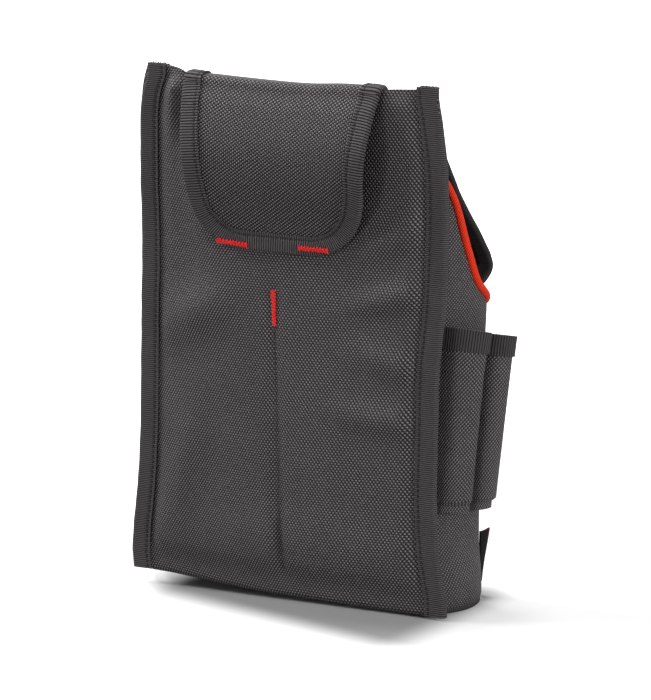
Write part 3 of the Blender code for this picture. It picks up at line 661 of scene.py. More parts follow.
@dataclass(frozen=True)
class TapeFold:
    """Edge tape folded over a cloth: its width, what it holds, and how hard its edge is sewn down."""

    width: float
    held: float
    thickness: float
    room: float = 0.0003
    press: float = 0.00045
    press_width: float = 0.0008
    inner_press: float = 0.5
    sewn: float = 0.0019
    leg_steps: int = 22
    bend_steps: int = 7

    def profile(self) -> Array:
        """Closed cross-section of the tape.

        Returns:
            Points as reach from the fold and stand-off from the cloth's middle.
        """
        inside = self.held / 2 + self.room
        outside = inside + self.thickness
        reaches = np.linspace(outside, self.width, self.leg_steps)
        pressed = self.press * np.exp(-(((reaches - self.width + self.sewn) / self.press_width) ** 2))
        turns = np.linspace(0, np.pi / 2, self.bend_steps)[1:]
        leg = np.concatenate([
            pair(reaches[::-1], (outside - pressed)[::-1]),
            pair(outside * (1 - np.sin(turns)), outside * np.cos(turns))])
        inner = np.concatenate([
            pair(outside - inside * np.sin(turns[::-1]), inside * np.cos(turns[::-1])),
            pair(reaches, inside - pressed * self.inner_press)])
        flip = np.array([1.0, -1.0])
        return np.concatenate([leg, leg[-2::-1] * flip, inner[::-1] * flip, inner[1:]])

    @staticmethod
    def inward(outline: Array, level: bool) -> Array:
        """Directions from an edge into its cloth.

        Args:
            outline: Flat pattern points of the edge.
            level: Whether the tape's ribs stay level, instead of square to the edge.

        Returns:
            The direction at each point.
        """
        ahead = unit(np.gradient(outline, axis=0))
        if level:
            ahead = pair(0.0, np.sign(ahead[:, 1]))
        return pair(-ahead[:, 1], ahead[:, 0])

    def build(self, name: str, outline: Array, surface: Surface, level: bool = False) -> Object:
        """Tape over a cloth's edge.

        Args:
            name: Name of the piece.
            outline: Flat pattern points of the edge, with the cloth on the left of the run.
            surface: The cloth's middle surface.
            level: As in inward.

        Returns:
            The tape.
        """
        profile = self.profile()
        place = outline[:, None, :] + self.inward(outline, level)[:, None, :] * profile[None, :, :1]
        x, s = place[..., 0], place[..., 1]
        rings = surface(x, s) + normals_of(surface, x, s) * profile[None, :, 1:]
        around = run_length(np.concatenate([profile, profile[:1]]))
        return ring_solid(name, rings, run_length(outline), around)

    def stitch_line(self, outline: Array, surface: Surface, level: bool = False) -> tuple[Array, Array]:
        """Course of the sewing along the tape's inner edge.

        Args:
            outline: Flat pattern points of the edge.
            surface: The cloth's middle surface.
            level: As in inward.

        Returns:
            Points on the tape's outer face and the outward directions there.
        """
        place = outline + self.inward(outline, level) * (self.width - self.sewn)
        out = normals_of(surface, place[:, 0], place[:, 1])
        height = self.held / 2 + self.room + self.thickness - self.press
        return surface(place[:, 0], place[:, 1]) + out * height, out


@dataclass(frozen=True)
class Stitching:
    """Run of lock stitches: the length of each, the room to the next, and the thread's radius.

    Each ring has its place, as a share of the length, and its width and height, as shares of the radius.
    """

    length: float = 0.0017
    pitch: float = 0.0026
    radius: float = 0.00040
    sides: int = 6
    rings: tuple[Point, ...] = (
        (-0.5, 0.45, -0.9), (-0.34, 1.0, 0.15), (0.34, 1.0, 0.15), (0.5, 0.45, -0.9))

    def build(self, name: str, course: Array, out: Array) -> Object:
        """Stitches along a course.

        Args:
            name: Name of the piece.
            course: Points of the sewn line, on the cloth.
            out: Outward direction at each of them.

        Returns:
            All the stitches as one object.
        """
        run = run_length(course)
        angles = np.arange(self.sides) * 2 * np.pi / self.sides
        points, faces = [], []
        for spot in np.arange(self.pitch / 2, run[-1] - self.pitch / 2, self.pitch):
            start = spots_along(spot - self.length / 2, run, course)
            end = spots_along(spot + self.length / 2, run, course)
            up = unit(spots_along(spot, run, out))
            along = end - start
            aside = unit(np.cross(along, up))
            faces += tube_faces(len(points), len(self.rings), self.sides)
            for where, width, height in self.rings:
                centre = (start + end) / 2 + along * where + up * self.radius * height
                for angle in angles:
                    round_it = aside * math.cos(angle) + up * math.sin(angle)
                    points.append(tuple(centre + round_it * self.radius * width))
        return closed_solid(name, points, faces)


def thread_tubes(name: str, courses: Sequence[Array], radius: float, taper: float = 0.0,
                 sides: int = 5) -> Object:
    """Threads along short courses.

    Args:
        name: Name of the piece.
        courses: Points that each thread follows.
        radius: Radius of a thread.
        taper: Share of the radius that is lost at a thread's far end.
        sides: Faces round a thread.

    Returns:
        All the threads as one object.
    """
    askew = np.array([0.31, 0.87, 0.38])
    angles = np.arange(sides) * 2 * np.pi / sides
    points, faces = [], []
    for course in courses:
        ahead = unit(np.gradient(course, axis=0))
        aside = unit(np.cross(ahead, askew))
        widths = radius * (1 - taper * np.linspace(0, 1, len(course)))
        rings = rings_round(course, widths, aside, np.cross(aside, ahead), angles)
        faces += tube_faces(len(points), len(course), sides)
        points += [tuple(point) for point in rings.reshape(-1, 3)]
    return closed_solid(name, points, faces)


# Finishes


class Nodes:
    """Nodes of one tree, joined step by step."""

    def __init__(self, tree: bpy.types.NodeTree) -> None:
        """Keeps the tree."""
        self.tree = tree

    def set(self, socket: Output, value: Any) -> None:
        """Links a socket, or sets its value.

        Args:
            socket: The input.
            value: What it takes: the output of another node, or a plain value.
        """
        if isinstance(value, bpy.types.NodeSocket):
            self.tree.links.new(value, socket)
        else:
            socket.default_value = value

    def new(self, kind: str, values: dict[Union[int, str], Any], **settings: str) -> bpy.types.Node:
        """New node.

        Args:
            kind: Its kind, without the start that all kinds share.
            values: What its inputs take, by number or name.
            settings: Its other settings, which are made first.

        Returns:
            The node.
        """
        node = self.tree.nodes.new("ShaderNode" + kind)
        for setting, choice in settings.items():
            setattr(node, setting, choice)
        for socket, value in values.items():
            self.set(node.inputs[socket], value)
        return node

    def math(self, operation: str, first: Socket, second: Socket = 0.0) -> Output:
        """Result of one sum or function."""
        return self.new("Math", {0: first, 1: second}, operation=operation).outputs[0]

    def plus(self, first: Socket, second: Socket) -> Output:
        """Sum of two values."""
        return self.math("ADD", first, second)

    def minus(self, first: Socket, second: Socket) -> Output:
        """Difference of two values."""
        return self.math("SUBTRACT", first, second)

    def times(self, first: Socket, second: Socket) -> Output:
        """Product of two values."""
        return self.math("MULTIPLY", first, second)

    def span(self, value: Socket, low: float, high: float, start: float = 0.0, end: float = 1.0,
             shape: str = "LINEAR") -> Output:
        """Value moved from the range of start and end to that of low and high."""
        values = {"Value": value, "From Min": start, "From Max": end, "To Min": low, "To Max": high}
        return self.new("MapRange", values, interpolation_type=shape).outputs["Result"]

    def ribs(self, place: Socket, pitch: float) -> Output:
        """Height of round ribs at a place across them, 0 in the grooves and 1 on top."""
        return self.math("ABSOLUTE", self.math("SINE", self.times(place, math.pi / pitch)))


class Sketch(Nodes):
    """Nodes of one material."""

    def __init__(self, name: str, roughness: float, sheen: float = 0.0, specular: float = 0.5) -> None:
        """Starts a material with a plain shader.

        Args:
            name: Name of the material.
            roughness: Roughness of its surface.
            sheen: Weight of its sheen.
            specular: Level of its gloss.
        """
        self.material = bpy.data.materials.new(name)
        self.material.use_nodes = True
        super().__init__(self.material.node_tree)
        self.shader = self.tree.nodes["Principled BSDF"]
        values = {"Roughness": roughness, "Metallic": 0.0, "Sheen Weight": sheen, "Sheen Roughness": 0.5,
                  "Specular IOR Level": specular}
        for socket, value in values.items():
            self.set(self.shader.inputs[socket], value)

    def pattern(self) -> tuple[Output, Output]:
        """Both coordinates of the cloth's flat pattern, in millimetres."""
        parts = self.new("SeparateXYZ", {0: self.new("UVMap", {}, uv_map=PATTERN).outputs["UV"]}).outputs
        return parts["X"], parts["Y"]

    def noise(self, scale: float, detail: float = 2.0) -> Output:
        """Soft random field in the object's own coordinates, about 0.5 in the middle."""
        spot = self.new("TexCoord", {}).outputs["Object"]
        return self.new("TexNoise", {"Vector": spot, "Scale": scale, "Detail": detail}).outputs["Fac"]

    def drift(self, scale: float, reach: float) -> Output:
        """Soft random field about 0, as wide as `reach`."""
        return self.times(self.minus(self.noise(scale, 1.0), 0.5), reach)

    def speckle(self, u: Output, v: Output) -> Output:
        """Random value of each crossing of two runs of yarns.

        Args:
            u: Phase of the first run.
            v: Phase of the second run.

        Returns:
            The value, from 0 to 1.
        """
        cell = [self.math("FLOOR", self.math("DIVIDE", phase, math.pi)) for phase in (u, v)]
        spot = self.new("CombineXYZ", dict(enumerate(cell))).outputs[0]
        return self.new("TexWhiteNoise", {"Vector": spot}, noise_dimensions="2D").outputs["Value"]

    def ramp(self, value: Socket, stops: Sequence[tuple[float, Colour]]) -> Output:
        """Colour of a value.

        Args:
            value: The value.
            stops: Values in rising order, each with its colour.

        Returns:
            The colour.
        """
        node = self.new("ValToRGB", {"Fac": value})
        band = node.color_ramp
        while len(band.elements) < len(stops):
            band.elements.new(0.5)
        for element, (place, colour) in zip(band.elements, stops):
            element.position = place
            element.color = (*colour, 1.0)
        return node.outputs["Color"]

    def tint(self, colour: Output, value: Socket, low: float, high: float) -> Output:
        """Colour made darker or lighter, from `low` times as bright at value 0 to `high` times at 1."""
        values = {"Factor": 1.0, "A": colour, "B": self.span(value, low, high)}
        return self.new("Mix", values, data_type="RGBA", blend_type="MULTIPLY").outputs["Result"]

    def clouded(self, colour: Output, scale: float, spread: float, detail: float = 2.0) -> Output:
        """Colour with soft random lighter and darker places."""
        return self.tint(colour, self.noise(scale, detail), 1 - spread, 1 + spread)

    def finish(self, colour: Output, height: Output, depth: float) -> Material:
        """Joins the colour and the relief to the shader.

        Args:
            colour: Colour of the surface.
            height: Relief, about 0 to 1.
            depth: Depth of that relief, in metres.

        Returns:
            The material.
        """
        bump = self.new("Bump", {"Strength": 1.0, "Distance": depth, "Height": height})
        self.set(self.shader.inputs["Normal"], bump.outputs["Normal"])
        self.set(self.shader.inputs["Base Color"], colour)
        return self.material


def warm_black(level: float) -> Colour:
    """Colour of the black textiles at one level of red: a little warm, and least in green. The level also
    sets the painted highlight and painted shade of the weaves and tapes.
    """
    return (level, 0.895 * level, 0.945 * level)


@dataclass(frozen=True)
class WovenFinish:
    """Heavy plain weave, in millimetres of the flat pattern, with painted light: the yarns that pass over
    others are painted bright, as if they caught the light, and the pits between them are painted dark with
    shade.

    The ridge is a line on the cloth, by its place, slope and reach. Yarns lean and draw together beside it.
    """

    name: str
    yarn_across: float
    yarn_along: float
    # Painted light: under is painted shade in the pits, yarn the cloth's dark tone, over a painted
    # highlight on the floats.
    under: Colour = warm_black(0.0028)
    yarn: Colour = warm_black(0.012)
    over: Colour = warm_black(0.238)
    lean: tuple[float, float] = (0.0, 0.0)
    lean_spread: float = 0.9
    ridge: tuple[float, float, float] = (0.0, 0.0, 22.0)
    turn: float = 4.0
    drawn: float = 0.0
    sag: tuple[float, float] = (0.0, 0.0)
    tubes: float = 0.0
    rows: float = 0.0
    columns: float = 0.0
    wave: float = 0.55
    gloss: float = 0.33
    sway: float = 0.22
    depth: float = 0.00028

    def build(self) -> Material:
        """Makes the cloth's material.

        Returns:
            The material.
        """
        sketch = Sketch(self.name, roughness=0.48, sheen=0.03, specular=self.gloss)
        plus, minus, times, function = sketch.plus, sketch.minus, sketch.times, sketch.math
        u, v = sketch.pattern()
        ridge_place, slope, spread = self.ridge
        off = function("DIVIDE", minus(minus(u, ridge_place), times(v, slope)), spread)
        side = times(function("TANH", times(off, self.turn)), 0.5)
        lean = plus(sketch.drift(13.0, self.lean_spread), times(side, self.lean[1] - self.lean[0]))
        lean = plus(lean, sum(self.lean) / 2)
        if self.tubes:
            lean = plus(lean, times(function("SINE", times(u, 2 * math.pi / self.tubes)), 0.5))
        drift = sketch.drift(70.0, self.sway)
        bend = times(function("LOGARITHM", function("COSH", off), math.e), spread)
        dip = plus(times(u, self.sag[0]), times(bend, self.sag[1]))
        v = times(minus(minus(v, drift), dip), math.pi / self.yarn_along)
        u = times(minus(plus(u, drift), times(bend, self.drawn)), math.pi / self.yarn_across)
        across, along = function("SINE", u), function("SINE", v)
        even = times(function("COSINE", u), function("COSINE", v))
        lay = plus(times(across, along), times(even, lean))
        rise = times(lay, self.wave)
        warp = plus(function("ABSOLUTE", across), rise)
        weft = minus(function("ABSOLUTE", along), rise)
        height = function("DIVIDE", function("MAXIMUM", warp, weft), 1.0 + self.wave)
        for phase, weight in ((u, self.columns), (v, self.rows)):
            lay = minus(lay, times(function("COSINE", times(phase, 2.0)), weight))
        # Painted light: how the yarns lie sets the colour, from painted shade in the pits to a painted
        # highlight on the floats.
        share = times(plus(lay, 1.0), 0.5)
        colour = sketch.ramp(share, ((0.08, self.under), (0.50, self.yarn), (0.92, self.over)))
        # Painted shade: the low parts of the weave are darker.
        colour = sketch.tint(colour, height, 0.70, 1.10)
        colour = sketch.clouded(colour, 45.0, 0.16)
        # Random brightness of each crossing of the yarns: in part the yarns' own uneven tone, in part
        # painted glints of the filament.
        colour = sketch.tint(colour, sketch.speckle(u, v), 0.88, 1.12)
        colour = sketch.clouded(colour, 1600.0, 0.12, 1.0)
        return sketch.finish(colour, height, self.depth)


@dataclass(frozen=True)
class RibbedFinish:
    """Woven tape with ribs square to its run and fine yarns along it, with painted shade in the grooves
    between the ribs and between the yarns.
    """

    name: str
    rib: float
    # Painted shade: groove is the tape darkened in the grooves, face the tone of the rib tops.
    groove: Colour = warm_black(0.003)
    face: Colour = warm_black(0.106)
    valley: float = 0.25
    ridge: float = 0.97
    yarn: float = 0.42
    sway: float = 0.35
    depth: float = 0.00015

    def build(self) -> Material:
        """Makes the tape's material.

        Returns:
            The material.
        """
        sketch = Sketch(self.name, roughness=0.70, sheen=0.03, specular=0.20)
        across, along = sketch.pattern()
        lay = sketch.plus(along, sketch.drift(160.0, self.rib * self.sway))
        height = sketch.ribs(lay, self.rib)
        yarn = sketch.ribs(across, self.yarn)
        # Painted shade: darker in the grooves between the ribs, and between the fine yarns.
        colour = sketch.ramp(height, ((self.valley, self.groove), (self.ridge, self.face)))
        colour = sketch.tint(colour, yarn, 0.80, 1.10)
        colour = sketch.clouded(colour, 60.0, 0.15)
        colour = sketch.clouded(colour, 1300.0, 0.20, 1.0)
        return sketch.finish(colour, height, self.depth)


@dataclass(frozen=True)
class CordFinish:
    """Red textile of the piping, with the grooves between its yarns darkened by painted shade."""

    name: str
    # Painted shade: groove is the red darkened in the grooves, face the red of the yarns.
    groove: Colour = (0.62, 0.010, 0.005)
    face: Colour = (1.0, 0.055, 0.018)
    rib: float = 1.3
    slant: float = 0.80
    depth: float = 0.00025

    def build(self) -> Material:
        """Makes the cord's material.

        Returns:
            The material.
        """
        sketch = Sketch(self.name, roughness=0.60, specular=0.12)
        around, along = sketch.pattern()
        lay = sketch.plus(along, sketch.times(around, self.slant))
        height = sketch.ribs(lay, self.rib)
        # Painted shade: darker in the grooves.
        colour = sketch.ramp(height, ((0.05, self.groove), (0.7, self.face)))
        colour = sketch.clouded(colour, 900.0, 0.12, 1.0)
        return sketch.finish(colour, height, self.depth)


@dataclass(frozen=True)
class GrainFinish:
    """Thread, board or coated cloth: one colour with a fine grain and soft clouds."""

    name: str
    dark: Colour
    pale: Colour
    grain: float = 900.0
    roughness: float = 0.6
    gloss: float = 0.3
    clouds: tuple[float, float] = (50.0, 0.1)
    depth: float = 0.00005

    def build(self) -> Material:
        """Makes the piece's material.

        Returns:
            The material.
        """
        sketch = Sketch(self.name, roughness=self.roughness, sheen=0.05, specular=self.gloss)
        grain = sketch.noise(self.grain, 2.0)
        colour = sketch.ramp(grain, ((0.3, self.dark), (0.7, self.pale)))
        colour = sketch.clouded(colour, *self.clouds)
        return sketch.finish(colour, grain, self.depth)


@dataclass(frozen=True)
class CoatedFinish(GrainFinish):
    """Smooth coated cloth with a faint fine grain."""

    dark: Colour = warm_black(0.03)
    pale: Colour = warm_black(0.052)
    grain: float = 1400.0
    roughness: float = 0.48
    gloss: float = 0.4
    clouds: tuple[float, float] = (30.0, 0.15)
    depth: float = 0.00006


@dataclass(frozen=True)
class TabFinish:
    """Black woven tape with a narrow red line along its free edge, and painted shade between its yarns."""

    name: str
    edge: float
    # Painted shade: black is the tape darkened between its yarns, pale the tops of the yarns.
    black: Colour = (0.006, 0.0057, 0.006)
    pale: Colour = (0.012, 0.0115, 0.012)
    red: Colour = (0.45, 0.020, 0.022)
    yarn: float = 0.45
    depth: float = 0.00006

    def build(self) -> Material:
        """Makes the tab's material.

        Returns:
            The material.
        """
        sketch = Sketch(self.name, roughness=0.80, specular=0.10)
        across, along = sketch.pattern()
        wave = sketch.ribs(along, self.yarn)
        # Painted shade: darker between the yarns.
        cloth = sketch.ramp(wave, ((0.1, self.black), (0.9, self.pale)))
        edge = sketch.math("GREATER_THAN", across, self.edge)
        values = {"Factor": edge, "A": cloth, "B": (*self.red, 1.0)}
        colour = sketch.new("Mix", values, data_type="RGBA").outputs["Result"]
        return sketch.finish(colour, wave, self.depth)


def made_of(finish: Union[WovenFinish, RibbedFinish, CordFinish, GrainFinish, TabFinish]) -> Any:
    """Field of a dataclass that holds the material of a finish."""
    return field(default_factory=finish.build)


@dataclass
class Finishes:
    """All finishes of the pouch, each made once."""

    panel: Material = made_of(WovenFinish(
        "panel_cloth", 0.827, 1.25, lean=(0.45, -0.36), ridge=(6.0, -0.20, 24.0), drawn=0.18,
        sag=(-0.0175, 0.0505), rows=0.36))
    wall: Material = made_of(WovenFinish(
        "wall_cloth", 0.90, 1.00, warm_black(0.002), warm_black(0.032), warm_black(0.215),
        lean=(0.2, 0.2), rows=0.15))
    tubes: Material = made_of(WovenFinish(
        "tube_cloth", 0.98, 1.08, warm_black(0.002), warm_black(0.022), warm_black(0.245), tubes=53.0))
    loop: Material = made_of(WovenFinish(
        "loop_cloth", 1.153, 0.90, lean=(0.2, 0.2), sag=(-0.06, 0.0), columns=0.22, gloss=0.20))
    tape: Material = made_of(RibbedFinish("ribbed_tape", 1.04))
    loop_tape: Material = made_of(RibbedFinish(
        "loop_tape", 1.31, warm_black(0.002), warm_black(0.122), 0.40, 0.98, depth=0.00040))
    tube_tape: Material = made_of(RibbedFinish(
        "tube_tape", 1.38, warm_black(0.008), warm_black(0.072), 0.20, 0.98, depth=0.00025))
    lip: Material = made_of(RibbedFinish("base_tape", 1.04, warm_black(0.012), warm_black(0.06)))
    flap_tape: Material = made_of(RibbedFinish("flap_tape", 1.04, warm_black(0.008), warm_black(0.038)))
    flap: Material = made_of(CoatedFinish("flap_cloth", warm_black(0.014), warm_black(0.026)))
    fray: Material = made_of(GrainFinish("loose_fibres", warm_black(0.06), warm_black(0.24), grain=2000.0))
    lining: Material = made_of(CoatedFinish("coated_lining"))
    piping: Material = made_of(CordFinish("red_cord"))
    tack: Material = made_of(GrainFinish(
        "red_stitching", (0.78, 0.010, 0.012), (1.0, 0.050, 0.050), grain=2500.0))
    thread: Material = made_of(GrainFinish("dark_thread", (0.006, 0.0056, 0.006), warm_black(0.013)))
    board: Material = made_of(GrainFinish(
        "stiffener", (0.016, 0.016, 0.018), (0.026, 0.026, 0.028), grain=300.0, roughness=0.5))
    tab: Material = made_of(TabFinish("tab_tape", 8.5))


def place(obj: Object, finish: Material, slot: Slot, *nodes: str, body: Body = Body.POUCH) -> Object:
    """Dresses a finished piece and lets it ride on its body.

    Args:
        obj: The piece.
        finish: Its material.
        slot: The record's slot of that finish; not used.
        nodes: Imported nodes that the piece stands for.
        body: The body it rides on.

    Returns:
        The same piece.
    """
    obj.data.materials.clear()
    obj.data.materials.append(finish)
    obj.data.shade_smooth()
    obj.data.set_sharp_from_angle(angle=math.radians(SHARP_ANGLE))
    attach(obj, body.value)
    if nodes:
        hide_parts(*nodes)
    LOG.info("%s: %d faces", obj.name, len(obj.data.polygons))
    return obj


# Sub-assemblies


@dataclass
class Sewn:
    """Sub-assembly sewn of cloths and tapes."""

    shape: PouchShape
    finishes: Finishes

    def bind(self, name: str, tape: TapeFold, outline: Array, surface: Surface,
             finish: Optional[Material] = None, body: Body = Body.POUCH,
             level: bool = False) -> list[Object]:
        """Sews a tape over the edge of a cloth.

        Args:
            name: Name of the cloth or the edge.
            tape: The tape.
            outline: Flat pattern points of the edge, with the cloth on the left of the run.
            surface: The cloth's middle surface.
            finish: The tape's material, or None for the common one.
            body: The body it rides on.
            level: Whether the tape's ribs stay level, instead of square to the edge.

        Returns:
            The tape and its stitches.
        """
        band = tape.build(name + "_tape", outline, surface, level)
        place(band, finish or self.finishes.tape, Slot.TAPE, name + "_binding", body=body)
        course, out = tape.stitch_line(outline, surface, level)
        sewing = Stitching().build(name + "_sewing", course, out)
        place(sewing, self.finishes.thread, Slot.TAPE, body=body)
        return [band, sewing]


@dataclass
class Back(Sewn):
    """Back panel with its base, the lining, the board and the tapes of the two long seams."""

    row_step: float = 0.0022
    columns: int = 90
    base_rows: int = 26
    bend_rows: int = 8
    top_start: float = 0.205
    tape_top: float = 0.2672
    tape_foot: float = 0.0012
    tape_step: float = 0.0008
    wobble: float = 0.0003
    wobble_rate: float = 90.0
    lining_drop: float = 0.0018
    lining_share: float = 0.8
    lining_rows: int = 60
    lining_columns: int = 40
    fray_count: int = 34
    fray_steps: int = 5
    fray_length: float = 0.0030
    fray_radius: float = 0.00024
    fray_start: float = 0.0004
    fray_spread: float = 0.86
    fray_layer: float = 0.0018
    fray_sunk: float = 0.0007
    fray_bend: float = 0.0016
    fray_lean: float = 0.0009
    seam_top: float = 0.138
    seam_foot: float = 0.012
    seam_thread: float = 0.00022
    seam_steps: int = 80

    def build(self) -> None:
        """Builds and dresses all pieces of the back."""
        panel = self.panel()
        tapes = [self.binding(side) for side in Side]
        self.seam_stitches()
        lining = self.lining()
        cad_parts["back_board"].data.materials.clear()
        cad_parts["back_board"].data.materials.append(self.finishes.board)

    def raised(self, x: Array, level: float) -> Array:
        """Height that the soft top edge adds to a level row."""
        share = (level - self.top_start) / (self.shape.panel_height - self.top_start)
        return (self.shape.top(x) - self.shape.panel_height) * ease(share)

    def panel_rows(self, share: Array) -> list[tuple[Array, float, Array, Array]]:
        """Rows of the panel, from its top edge down and under as the base.

        Args:
            share: How far across the panel the columns are, from 0 to 1.

        Returns:
            Places across the pouch, depth, height and place along the pattern of each row.
        """
        shape = self.shape
        radius = shape.base_round - shape.cloth / 2

        def across(left: float, right: float) -> Array:
            """Places of the columns between the two edges of a row."""
            return blend(-left, right, share)

        rows = []
        count = int((shape.panel_height - shape.base_round) / self.row_step)
        for level in np.linspace(shape.panel_height, shape.base_round, count):
            x = across(*(float(shape.edge(level, side)) - shape.tape_inset for side in Side))
            z = level + self.raised(x, level)
            rows.append((x, shape.panel_y, z, z))
        for i in range(1, self.bend_rows + 1):
            angle = math.pi / 2 * i / self.bend_rows
            x = across(*(float(blend(shape.edge(shape.base_round, side) - shape.tape_inset,
                                             shape.base_half(shape.bend_y, side), math.sin(angle) ** 2))
                         for side in Side))
            y, z = shape.bend_y - radius * math.cos(angle), shape.base_round - radius * math.sin(angle)
            rows.append((x, y, z, shape.base_round - radius * angle))
        front = shape.front_y - float(shape.drawn_in(shape.cloth))
        for y in blend(shape.bend_y, front, np.sin(np.linspace(0, np.pi / 2, self.base_rows))[1:]):
            x = across(*(float(shape.base_half(y, side)) for side in Side))
            along = shape.base_round - radius * math.pi / 2 - (y - shape.bend_y)
            rows.append((x, y, shape.cloth / 2, along))
        return rows

    def panel(self) -> Object:
        """Outer cloth of the belt side, which turns under as the base.

        Returns:
            The cloth.
        """
        shape = self.shape
        points, flat = [], []
        for x, y, z, along in self.panel_rows(np.linspace(0, 1, self.columns + 1)):
            points.append(triple(x, y - shape.relief(x, z), z))
            flat.append(pair(x, along))
        points = shape.settle(np.array(points)[::-1])
        sheet = grid_sheet("back_panel_cloth", points, np.array(flat)[::-1], shape.cloth)
        return place(sheet, self.finishes.panel, Slot.CLOTH, "back_panel")

    def lining(self) -> Object:
        """Inner cloth over the board.

        Returns:
            The cloth.
        """
        shape = self.shape
        inset = shape.cloth / 2 + shape.gap + shape.seam_bend / 2 + shape.binding_width + shape.seam_inset
        rows = []
        for level in np.linspace(shape.base_round, shape.panel_height - self.lining_drop, self.lining_rows):
            left, right = (float(shape.edge(level, side)) - inset for side in Side)
            x = np.linspace(-left, right, self.lining_columns)[::-1]
            rows.append(triple(x, shape.lining_y, level + self.raised(x, level)))
        points = shape.settle(np.array(rows))
        sheet = grid_sheet("back_lining_cloth", points, points[..., [0, 2]], shape.lining)
        return place(sheet, self.finishes.lining, Slot.LINING, "back_lining")

    def binding(self, side: Side) -> Object:
        """Tape over one long seam, with its sewing and its frayed end.

        Args:
            side: Which seam.

        Returns:
            The tape.
        """
        shape = self.shape
        name = side.name.lower() + "_edge"
        heights = np.arange(self.tape_foot, self.tape_top, self.tape_step)
        wobble = [self.wobble * chance(z * self.wobble_rate, side.value * 3.0, 0.0) for z in heights]
        outline = pair(shape.edge(heights, side) * side.value + wobble, heights)
        end = outline[-1]
        if side is Side.LEFT:
            outline = outline[::-1]

        def seam(px: Array, pz: Array) -> Array:
            """Surface midway between the panel and the flange."""
            return shape.settle(triple(px, shape.seam_y, pz))

        tape = TapeFold(shape.binding_width, shape.flange_y - shape.panel_y + shape.cloth, shape.tape)
        band = self.bind(name, tape, outline, seam, level=True)[0]
        self.fray(name, end, side)
        return band

    def fray(self, name: str, end: Array, side: Side) -> None:
        """Loose fibres at the cut upper end of a tape.

        Args:
            name: Name of the edge.
            end: Flat place of the tape's upper outer corner.
            side: Which edge it is.
        """
        t = np.linspace(0, 1, self.fray_steps)
        courses = []
        for i in range(self.fray_count):
            share = (i + 0.5) / self.fray_count
            bend = chance(i * 1.7, side.value * 5.0, 0.0)
            rise = self.fray_length * (0.35 + 0.9 * abs(chance(i * 2.3, 9.0, side.value)))
            inset = self.fray_start + share * self.shape.binding_width * self.fray_spread
            x = end[0] - side.value * inset
            y = self.shape.seam_y + (-1) ** i * self.fray_layer
            courses.append(triple(x + bend * self.fray_bend * t**2, y + bend * self.fray_lean * t,
                                  end[1] - self.fray_sunk + rise * t))
        obj = thread_tubes(name + "_fray", courses, self.fray_radius, taper=0.5, sides=4)
        place(obj, self.finishes.fray, Slot.TAPE)

    def seam_stitches(self) -> None:
        """Dark lock stitches of the inner pocket's middle seam, below its tack."""
        heights = np.linspace(self.seam_top, self.seam_foot, self.seam_steps)
        x = SmoothLine(self.shape.divide)(heights)
        y = self.shape.back_face - self.shape.relief(x, heights)
        course = self.shape.settle(triple(x, y, heights))
        sewing = Stitching(radius=self.seam_thread)
        obj = sewing.build("middle_sewing", course, triple(0 * x, -1.0, 0 * x))
        place(obj, self.finishes.thread, Slot.CLOTH)


